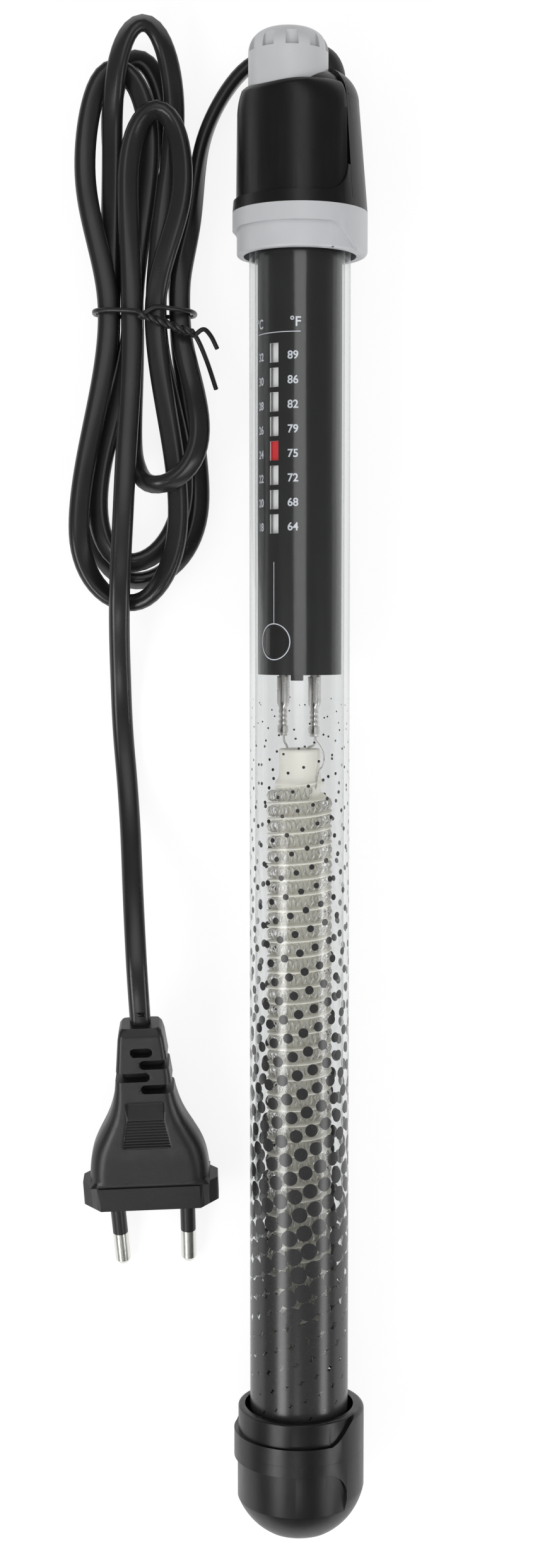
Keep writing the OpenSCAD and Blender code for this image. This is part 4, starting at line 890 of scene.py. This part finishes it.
# ------------------------------------------------------------------ Lamp
# Smoked red-brown lens in the sleeve, over a small neon lamp and its resistor,
# which glow when the element is on.
smoked = Finish("smoked_lens")
smoke = smoked.noise(5, 2)
smoked.skin({"Base Color": smoked.mix(smoke, (0.005, 0.0045, 0.0045, 1), (0.010, 0.007, 0.0065, 1)),
             "Roughness": 0.12 + smoke * 0.1, "Coat Weight": 0.6, "Coat Roughness": 0.05,
             "Normal": smoked.bump(smoked.noise(0.9, 2), 0.004)})
dress(smoked, "lamp_lens")
dress(moulded("lamp_glass", (0.62, 0.48, 0.40), (0.72, 0.60, 0.52), 0.12, 1.5, 0.004), "neon_lamp")
dress(moulded("resistor_tan", (0.52, 0.38, 0.20), (0.62, 0.47, 0.27), 0.4, 0.6, 0.01),
      "lamp_resistor")

# ------------------------------------------------------------------ Thermostat
# Black moulded chassis plate with brackets for the screw, and behind it the
# bimetal arm on its pin, silver contacts and the snap magnet.
dress(moulded("chassis_black", (0.012, 0.012, 0.013), (0.018, 0.018, 0.019), 0.5, 0.4, 0.02),
      "carrier_frame")
bimetal = metal("bimetal", (0.50, 0.42, 0.26), (0.64, 0.55, 0.36), 0.3, 0.2, 0.005,
                (0.7, 4, 0.6, (1, 0.06, 1)))
dress(bimetal, "bimetal_arm")
fine_silver = metal("fine_silver", (0.60, 0.59, 0.56), (0.80, 0.79, 0.77), 0.18, 0.2, 0.004,
                    (0.5, 3))
dress(fine_silver, "moving_contact", "fixed_contact")
dress(moulded("ferrite", (0.045, 0.045, 0.05), (0.07, 0.07, 0.075), 0.5, 0.3, 0.02),
      "contact_magnet")

# ------------------------------------------------------------------ Terminals
# Tinned brass tabs riveted to the chassis, with folded push-on receptacles
# crimped to the element's two leads.
tinned = metal("tinned", (0.62, 0.61, 0.59), (0.86, 0.85, 0.83), 0.2, 0.16, 0.004,
               (2.5, 3, 0.5), metallic=0.6)
dress(tinned, "terminal_tabs")
barrel_x, barrel_y, barrel_z, receptacle_len, sheet_t = 5, -0.1, 209.2, 15, 0.3
# Half of the folded section, across and towards the front, from the rolled edge in
folded = [(0.62, -0.42), (0.66, -0.78), (0.92, -1.0), (1.28, -0.96), (1.52, -0.7), (1.56, -0.3),
          (1.44, 0.08), (1.2, 0.26), (0.6, 0.3), (0, 0.3)]
folded = folded + [(-x, y) for x, y in folded[-2::-1]]
# Height above the barrel's end, width and depth of the section there
stations = [
    (receptacle_len, 1, 1), (receptacle_len, 1.04, 1), (14.85, 1, 1), (8.6, 1, 1), (8.2, 0.96, 1),
    (7.5, 0.66, 0.95), (7.0, 0.55, 0.9), (6.6, 0.56, 0.95), (6.3, 0.62, 1.05), (5.9, 0.62, 1.05),
    (5.65, 0.5, 0.8), (5.3, 0.5, 0.8), (5.05, 0.62, 1.05), (4.65, 0.62, 1.05), (4.4, 0.5, 0.8),
    (4.05, 0.5, 0.8), (3.8, 0.62, 1.05), (3.3, 0.62, 1.05), (3.05, 0.54, 0.9), (2.6, 0.6, 1.0),
    (2.5, 0.84, 1.15), (0.9, 0.84, 1.15), (0.8, 0.6, 1), (0, 0.6, 1),
]
for side, node in ((-1, "receptacle_left"), (1, "receptacle_right")):
    sheet = bmesh.new()
    line = [sheet.verts.new((x, y, 0)) for x, y in folded]
    swept(sheet, [sheet.edges.new(pair) for pair in zip(line, line[1:])],
          [Matrix.Translation((barrel_x * side, barrel_y, barrel_z + rise))
           @ Matrix.Diagonal((wide, deep, 1, 1)) for rise, wide, deep in stations])
    bmesh.ops.remove_doubles(sheet, verts=sheet.verts, dist=1e-4)
    bmesh.ops.recalc_face_normals(sheet, faces=sheet.faces)
    terminal = fitted(node + "_folded", sheet, laid_down, tinned, (node,), sharp=50)
    tin = terminal.modifiers.new("sheet", "SOLIDIFY")
    tin.thickness = sheet_t / 1000
    tin.offset = 0
# Each lead's radius and route; the last is the winding's end, led up past the neck
lead_lines = (
    (0.3, [(-5, -0.1, 211), (-5, -0.1, 208.8), (-4.8, -0.1, 207.6), (-4.2, 0, 206.7),
           (-3.8, 0, 205.6), (-3.8, 0, 204)]),
    (0.3, [(5, -0.1, 211), (5, -0.1, 208.6), (4.7, 0, 207.3), (3.6, 0.2, 206.7),
           (2.6, 0.3, 206.4), (2.2, 0.3, 205.4), (2.2, 0.3, 204)]),
    (0.24, [(5.1, -0.1, 210.4), (5.2, 0, 208.4), (5.8, 0.6, 207.1), (6.6, 1.1, 205.4),
            (6.9, 1.2, 203.4), (6.6, 1.0, 201.8), (5.9, 0.6, 200.8), (5.75, 0.1, 199.6),
            (5.9, -0.6, 198), (6.4, -1.4, 196.9), (6.6, -2.0, 196.2)]),
)
bundle = bmesh.new()
for radius, points in lead_lines:
    ring = bmesh.ops.create_circle(bundle, segments=10, radius=radius)["verts"]
    places = []
    for last, point, following in neighbours(smooth_line(points, 5)):
        turn = Vector((0, 0, 1)).rotation_difference((following - last).normalized())
        places.append(Matrix.Translation(point) @ turn.to_matrix().to_4x4())
    swept(bundle, list({e for v in ring for e in v.link_edges}), places)
bmesh.ops.holes_fill(bundle, edges=bundle.edges, sides=0)
bmesh.ops.recalc_face_normals(bundle, faces=bundle.faces)
fitted("leads", bundle, laid_down, tinned, ("element_leads",))

# ------------------------------------------------------------------ Supply wires
# The flex's two cores, brown PVC, led down behind the chassis plate to the
# thermostat.
dress(moulded("core_brown", (0.10, 0.045, 0.02), (0.13, 0.06, 0.03), 0.4, 0.6, 0.008),
      "supply_wires")

# ------------------------------------------------------------------ Former
# Cream steatite ceramic, pressed and fired: a neck that the leads pass through,
# a rod with one helical fin of nearly 38 turns, and a pad under it on the glass.
pad_r, pad_len, slack = 5.9, 28.8, 0.1
pad_z0 = ball_z - math.sqrt(tube_in_r ** 2 - pad_r ** 2) + slack
former_end_z, former_top_z = pad_z0 + pad_len + slack, 196.9 - 0.05
former_z0 = former_end_z + 1        # where the groove starts
turns, turn_steps, start = 37.9, 36, math.radians(34)
pitch, fin_t, core_r, fin_r = 3.939, 0.76, 5.35, 8.35
groove = pitch - fin_t
# The fin runs out at its top, over this part of a turn and down by this much
runout_turns, runout_deep = 0.25, 1.95
steatite = Finish("steatite")
fired = steatite.noise(6, 3)
grit = steatite.noise(0.35, 4, 0.65)
stain = steatite.noise(2.5, 5, 0.6)
steatite.skin({
    "Base Color": steatite.mix((stain * 2.2 - 1.05).clipped() * 0.25,
                               steatite.mix(fired, (0.88, 0.86, 0.77, 1), (0.93, 0.92, 0.84, 1)),
                               (0.66, 0.60, 0.48, 1)),
    "Roughness": 0.62 + grit * 0.16,
    "Normal": steatite.bump(grit * 0.8 + fired * 0.2, 0.03),
})
former = turned([(0, former_end_z), (core_r - 0.2, former_end_z), (core_r, former_end_z + 0.2),
                 (core_r, former_top_z), (0, former_top_z)], 48)
fin_outline = [
    (core_r - 0.5, groove - 0.1), (core_r + 0.1, groove + 0.02), (fin_r - 0.25, groove + 0.1),
    (fin_r, groove + 0.28), (fin_r, pitch - 0.28), (fin_r - 0.25, pitch - 0.1),
    (core_r + 0.1, pitch - 0.02), (core_r - 0.5, pitch + 0.1),
]
corners = [former.verts.new((r, 0, former_z0 + z)) for r, z in fin_outline]
edges = [former.edges.new(pair) for pair in zip(corners, corners[1:] + corners[:1])]
steps = round(turn_steps * turns)
bmesh.ops.spin(former, geom=corners + edges, axis=(0, 0, 1), cent=(0, 0, 0),
               dvec=(0, 0, pitch / turn_steps), angle=math.tau * steps / turn_steps, steps=steps)
bmesh.ops.holes_fill(former, edges=former.edges, sides=0)
bmesh.ops.recalc_face_normals(former, faces=former.faces)
for corner in former.verts:
    x, y, z = corner.co
    out = math.hypot(x, y)
    over = (z - former_z0 - groove) / pitch - (turns - 1)       # turns past the last full one
    most = fin_r - min(max(over / runout_turns, 0), 1) * runout_deep
    if over > 0 and out > most:
        corner.co.x, corner.co.y = x * most / out, y * most / out
bmesh.ops.rotate(former, cent=(0, 0, 0), matrix=Matrix.Rotation(start, 3, "Z"), verts=former.verts)
fitted("finned_former", former, laid_down, steatite, ("ceramic_former",), sharp=50)
neck_outline = [
    (0, 196.6), (5.9, 196.6), (6.2, 196.75), (6.3, 197.05), (6.2, 197.4), (5.9, 197.8),
    (5.6, 198.3), (5.38, 199), (5.25, 200), (5.2, 201.4), (5.22, 203.2), (5.3, 204.8),
    (5.3, 205.3), (5.2, 205.75), (4.98, 205.96), (4.7, 206.0), (0, 206.0),
]
fitted("ceramic_neck", turned(neck_outline, 64), laid_down, steatite,
       ("ceramic_head",))
dress(steatite, "former_pad")

# ------------------------------------------------------------------ Winding
# Fine resistance wire, first coiled on a mandrel to about 3.1 mm and then wound in
# the former's groove, nearly 38 turns of it.
wire_d, coil_d, coil_turns = 0.44, groove - 0.1, 37.85
coil_r, swing = core_r + coil_d / 2 + 0.03, (coil_d - wire_d) / 2
loops_per_turn, each = 26.6, 8
winding_line = []
for i in range(int(coil_turns * loops_per_turn * each)):
    t = i / (loops_per_turn * each)
    a, b = start + math.tau * t, math.tau * i / each
    out = coil_r + swing * math.cos(b)
    rise = former_z0 + groove / 2 + pitch * t + swing * math.sin(b)
    winding_line.append(laid_down @ Vector((out * math.cos(a), out * math.sin(a), rise)))
element_wire = Finish("element_wire")
tarnish = element_wire.noise(3, 3)
element_wire.skin({
    "Base Color": element_wire.mix(tarnish, (0.62, 0.61, 0.58, 1), (0.80, 0.79, 0.77, 1)),
    "Metallic": 0.55,
    "Roughness": 0.2 + tarnish * 0.14,
    "Normal": element_wire.bump(element_wire.noise(0.3, 2), 0.003),
})
drawn_wire("coiled_winding", winding_line, wire_d / 2000, element_wire,
           ("heating_coil",), sides=1)

# ------------------------------------------------------------------ Studio
# A white table in an even, soft light: two wide fills, a long box overhead for the
# upper half, two strips for the foot and a small box for the plug. The table keeps
# the heater's shadow.
table_mesh = bmesh.new()
bmesh.ops.create_grid(table_mesh, x_segments=1, y_segments=1, size=3)
mesh = bpy.data.meshes.new("table")
table_mesh.to_mesh(mesh)
table_mesh.free()
table = bpy.data.objects.new("table", mesh)
table.location.z = -0.0003
bpy.context.collection.objects.link(table)
table_white = Finish("table_white")
path = table_white.node("LightPath", output="Is Camera Ray")
seen = (path + path.out("Is Glossy Ray") + path.out("Is Transmission Ray")).clipped()
matt = table_white.node("BsdfDiffuse", (), {"Color": (0.9, 0.9, 0.9, 1)})
lit = table_white.node("Emission", (), {"Color": (1, 1, 1, 1), "Strength": 1.05})
table_white.show(table_white.node("MixShader", (), {0: seen * 0.82, 1: matt, 2: lit}))
mesh.materials.append(table_white.material)

scene = bpy.context.scene
scene.view_settings.view_transform = "Standard"
scene.world = bpy.data.worlds.new("room")
room = Finish("room", scene.world)
path = room.node("LightPath", output="Is Camera Ray")
room_light = 0.42 + path * 0.58 - path.out("Is Glossy Ray") * 0.27
room.show(room.node("Background", (), {"Color": (1, 1, 1, 1), "Strength": room_light}),
          "OutputWorld")


def softbox(name, lean, distance, y, wide, long, radiance, mirrored=True):
    """A flat area lamp, leaning lean degrees from overhead to the right."""
    lamp = bpy.data.lights.new(name, "AREA")
    lamp.shape = "RECTANGLE"
    lamp.size = wide
    lamp.size_y = long
    lamp.energy = radiance * math.pi * wide * long
    box = bpy.data.objects.new(name, lamp)
    lean = math.radians(lean)
    box.location = (distance * math.sin(lean), y, distance * math.cos(lean))
    box.rotation_euler = (0, lean, 0)
    box.visible_glossy = mirrored
    bpy.context.collection.objects.link(box)


softbox("overhead", 1, 1.1, 0.5, 0.5, 1.1, 1.3)
softbox("left_strip", -40, 0.8, -0.48, 0.26, 0.75, 6.0)
softbox("right_strip", 58, 0.8, -0.48, 0.22, 0.75, 4.8)
softbox("plug_box", -5, 0.9, -0.66, 0.16, 0.22, 7.0)
softbox("left_fill", -40, 1.0, 0.05, 0.6, 1.4, 0.9, mirrored=False)
softbox("right_fill", 42, 1.0, 0.05, 0.6, 1.4, 0.95, mirrored=False)
